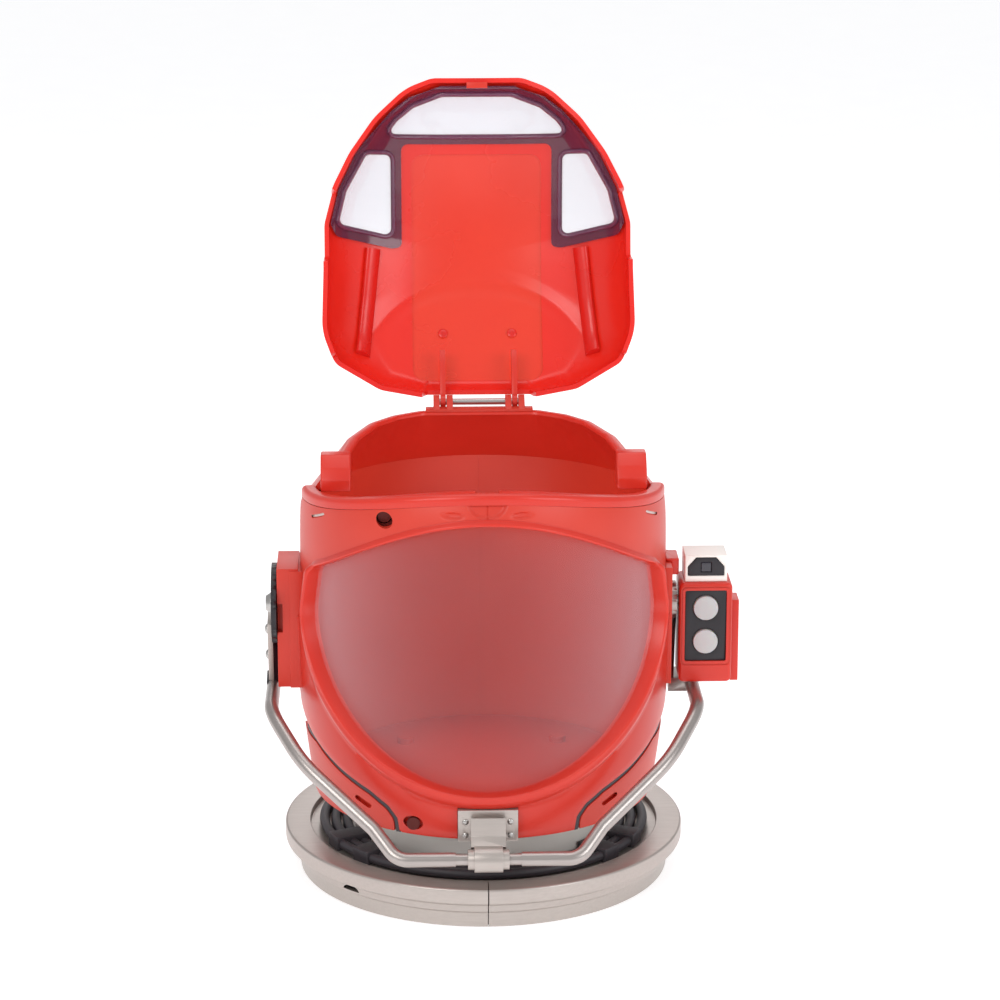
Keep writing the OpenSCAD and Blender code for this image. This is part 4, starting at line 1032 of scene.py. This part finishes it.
def makeEjectorMarks():
    e = ejectorSizes
    spots = [(side * e["x"], e["y"], crownHeight(e["x"], e["y"], e["inset"])) for side in (-1, 1)]
    marks = grown("lid_marks", "stud", spots, [], "lid_red", Radius=e["radius"] * mm, Height=e["height"] * mm,
                  Facing=e["facing"])
    ride(swungOpen(marks), "lid", "trim_red")


def insetOf(outline, width):
    path = evenly(rounded(outline, 3.0), 120)
    return path + width * outwards(path)


def makeInsert():
    s = lidSizes
    near, far = s["wall"] + 0.12, s["wall"] + 0.12 + s["insertWall"]
    flange = carve(crownSolid(near), crownSolid(far))
    flange.name = "window_insert_skin"
    dress(flange, "smoked_pane")
    carve(flange, prism(rounded(mirroredLoop(insertHalf), 3.5), shellSizes["rim"] + 3, 260, "z"), "INTERSECT")
    for outline in windows:
        carve(flange, prism(insetOf(outline, -0.3), 180, 260, "z"))
    ride(swungOpen(flange), "lid", "smoked_pane", "window_insert")
    beads = []
    for index, outline in enumerate(windows):
        pane = carve(crownSolid(near), crownSolid(near + 0.9))
        pane.name = "window_pane_%d" % index
        dress(pane, "window_clear")
        carve(pane, prism(insetOf(outline, -0.32), 180, 260, "z"), "INTERSECT")
        ride(swungOpen(pane), "lid", "smoked_pane")
        beads.append([(x, y, crownHeight(x, y, far + 0.1)) for x, y in insetOf(outline, 1.0)])
    bead = grown("window_beads", "sweep", *lines(beads, closed=True), "smoked_bead", Width=2.2 * mm,
                 Height=2.2 * mm, Sides=12)
    ride(swungOpen(bead), "lid", "smoked_pane")


makeRibs()
makeLidShell()
makeEjectorMarks()
makeInsert()
print("lid is built")


# ---- the base: ring halves, neck collar and hoses ----

ringSizes = dict(band=88.0, step=90.5, outer=95.0, high=21.0, recess=83.0, floor=18.0, inner=56.5, wall=2.5,
                 seam=0.12)


def makeBaseRings():
    r = ringSizes
    section = rounded([
        (r["band"], 0), (r["band"], 7), (r["step"], 8.5), (r["step"], 11.5), (r["outer"], 14), (r["outer"], r["high"]),
        (r["recess"], r["high"]), (r["recess"], r["floor"]), (r["inner"], r["floor"]),
        (r["inner"], r["floor"] - r["wall"]), (r["recess"] + r["wall"], r["floor"] - r["wall"]),
        (r["recess"] + r["wall"], r["high"] - r["wall"]), (r["outer"] - r["wall"], r["high"] - r["wall"]),
        (r["outer"] - r["wall"], 15.4), (r["band"], 12.8), (r["band"], 9.8), (r["band"] - r["wall"], 8.2),
        (r["band"] - r["wall"], 0)],
        [0.5, 0.8, 0.6, 0.6, 0.9, 1.1, 0.5, 0.3, 0, 0, 0, 0, 0, 0, 0, 0, 0, 0], 4)
    halves = {"left": 90, "right": -90}
    for word, start in halves.items():
        half = turned("base_ring_%s_skin" % word, section, "silver_plastic", start + r["seam"],
                      180 - 2 * r["seam"], 150)
        if word == "left":
            bite = [(-63 + 3.6 * math.cos(t), 9.2 + 2.6 * math.sin(t)) for t in np.radians(np.arange(0, 181, 12))]
            carve(half, prism(bite, -80, -50))
        ride(half, "root", "silver_plastic", "base_ring_" + word)


neckSizes = dict(inner=56.5, outer=61.5, head=74, bore=46.5, low=18, bend=33, under=37.5, top=40)


def makeNeck():
    n = neckSizes
    section = rounded([
        (n["outer"], n["low"]), (n["outer"], n["bend"]), (n["head"], n["under"]), (n["head"], n["top"]),
        (n["bore"], n["top"]), (n["bore"], n["under"]), (n["inner"], n["under"]), (n["inner"], n["low"])],
        [0.3, 3, 0.8, 0.6, 0, 0, 0, 0], 4)
    ride(turned("neck_collar_skin", section, "neck_white", 0, 359.99, 200), "root", "neck_white", "neck_collar")


hoseSizes = dict(width=4.6, first=65.5, pitch=5.4, rest=18.0 + 2.3, lift=0.4, block=10.0)
couplings = [60, 120, 205, 222, 318, 335]


def makeHoses():
    h = hoseSizes
    for row, word in enumerate(("inner", "middle", "outer")):
        r = h["first"] + row * h["pitch"]
        gap = math.degrees(math.asin(h["block"] / 2 / (r - h["width"] / 2)))
        paths = []
        for i, angle in enumerate(couplings):
            stretch = couplings[(i + 1) % 6] - angle + (360 if i == 5 else 0)
            turns = np.radians(np.linspace(angle + gap, angle + stretch - gap, max(6, int(stretch / 2))))
            paths.append([(r * math.cos(t), r * math.sin(t), h["rest"] + row * h["lift"]) for t in turns])
        hose = grown("hose_%s_skin" % word, "sweep", *lines(paths), "hose_black", Width=h["width"] * mm,
                     Height=h["width"] * mm, Sides=20)
        ride(hose, "root", "hose_black", "hose_" + word)


makeNeck()
makeBaseRings()
makeHoses()
print("base is built")


# ---- the bail and the chin latch ----

bailSizes = dict(pivotZ=128.9155, sideX=99.8, tube=3.3, sleeve=2.75, sleeveHalf=15.0, stow=44.364, armStow=105.0,
                 arm=45.0, reach=132.9, foot=6.0)


def bailPoint(side, x, reach, angle):
    turn = math.radians(angle)
    return np.array([side * x, -reach * math.cos(turn), bailSizes["pivotZ"] - reach * math.sin(turn)])


def makeBail():
    b = bailSizes
    tilt = math.radians(b["armStow"] - 90)
    forward = np.array([0, math.cos(tilt), math.sin(tilt)])
    pivot = np.array([0, 0, b["pivotZ"]])
    for side, word in ((-1, "left"), (1, "right")):
        first = bailPoint(side, b["sideX"], b["arm"], b["armStow"]) + [0, -4, 0]
        second = bailPoint(side, b["sideX"], b["arm"] + 10, b["stow"] + 6)
        ahead = second - first
        first = first + ahead * ((-b["foot"] - (first - pivot) @ forward) / (ahead @ forward))
        route = [first, second, bailPoint(side, b["sideX"] - 15, b["reach"] - 49, b["stow"]),
                 bailPoint(side, 52, b["reach"] - 15.4, b["stow"]), bailPoint(side, 41.5, b["reach"], b["stow"]),
                 bailPoint(side, b["sleeveHalf"], b["reach"], b["stow"])]
        path = rounded(route, [0, 26, 60, 10, 10, 0], 12, closed=False)
        tube = grown("bail_tube_%s_skin" % word, "sweep", *lines([path]), "silver_tube", Width=2 * b["tube"] * mm,
                     Height=2 * b["tube"] * mm, Sides=32)
        ride(tube, "bail", "silver_tube", "bail_tube_" + word)
    ends = [bailPoint(1, x, b["reach"], b["stow"]) for x in np.linspace(-b["sleeveHalf"], b["sleeveHalf"], 9)]
    sleeve = grown("bail_sleeve_skin", "sweep", *lines([ends]), "silver_tube", Width=2 * b["sleeve"] * mm,
                   Height=2 * b["sleeve"] * mm, Sides=32)
    ride(sleeve, "bail", "silver_tube", "bail_sleeve")


rivetSizes = dict(chinX=10.3, chinZ=(3, 9.5), chinRadius=1.5, chinHeight=0.88, armReach=(14.5, 29), armRadius=2.4,
                  armHeight=1.55)


def makeRivets():
    r = rivetSizes
    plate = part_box("latch_plate")[0] / mm
    heads = [(x * r["chinX"], plate.y + 2.3, plate.z + z) for x in (-1, 1) for z in r["chinZ"]]
    chin = grown("latch_rivets_skin", "stud", heads, [], "fastener_steel", Radius=r["chinRadius"] * mm,
                 Height=r["chinHeight"] * mm, Facing=(0, -1, 0))
    ride(chin, "root", "fastener_steel", "latch_rivets")
    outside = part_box("bail_rivets")[0].x / mm + 1.6
    heads = [(outside, *bailPoint(-1, 0, reach, bailSizes["armStow"])[1:]) for reach in r["armReach"]]
    arm = grown("bail_rivets_skin", "stud", heads, [], "fastener_steel", Radius=r["armRadius"] * mm,
                Height=r["armHeight"] * mm, Facing=(-1, 0, 0))
    ride(arm, "bail", "fastener_steel", "bail_rivets")


makeBail()
makeRivets()
print("bail is built")


# ---- the lamp housing ----

housingLow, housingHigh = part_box("lamp_housing")
lampSizes = dict(corner=2.6, wall=1.8, front=2.0, panelWidth=19.6, panelHeight=35.0, panelUp=10.5, groove=0.5,
                 pinHole=2.55)


def makeLampHousing():
    s = lampSizes
    x0, y0, z0 = (v / mm for v in housingLow)
    x1, y1, z1 = (v / mm for v in housingHigh)
    middle = (x0 + x1) / 2

    def box(left, right, low, high, near, far, corner):
        return prism(rounded([(left, low), (right, low), (right, high), (left, high)], corner, 5), near, far)

    housing = box(x0, x1, z0, z1, y0, y1, s["corner"])
    housing.name = "lamp_housing_skin"
    dress(housing, "trim_red")
    bevelled(housing, 1.5, 4)
    w = s["wall"]
    carve(housing, box(x0 + w, x1 - w, z0 + w, z1 - w, y0 + s["front"], y1 + 5, 1.2))
    half, low = s["panelWidth"] / 2, z0 + s["panelUp"]
    high = low + s["panelHeight"]
    ring = box(middle - half - 2.0, middle + half + 2.0, low - 2.0, high + 2.0, y0 - 1, y0 + s["groove"], 2.4)
    carve(ring, box(middle - half - 1.2, middle + half + 1.2, low - 1.2, high + 1.2, y0 - 2, y0 + 3, 1.8))
    carve(housing, ring)
    carve(housing, box(middle - half, middle + half, low, high, y0 - 3, y0 + 6, 0.9))
    carve(housing, prism(oval(0, bailSizes["pivotZ"], s["pinHole"], s["pinHole"], 12), x0 - 2, x0 + w + 2, "x"))
    ride(housing, "root", "trim_red", "lamp_housing")


makeLampHousing()
print("lamp is built")


def makeFloor():
    half, low = floorSizes["half"], -floorSizes["drop"]
    sheet = bpy.data.meshes.new("floor")
    sheet.from_pydata([(-half, -half, low), (half, -half, low), (half, half, low), (-half, half, low)], [],
                      [(0, 1, 2, 3)])
    floor = bpy.data.objects.new("floor", sheet)
    bpy.context.scene.collection.objects.link(floor)
    sheet.materials.append(finish("floorPale", (240, 240, 241), (237, 237, 239), 0.6, bump=0.02, scale=300,
                                  Emission_Color=(1, 1, 1, 1), Emission_Strength=0.5))


makeFloor()
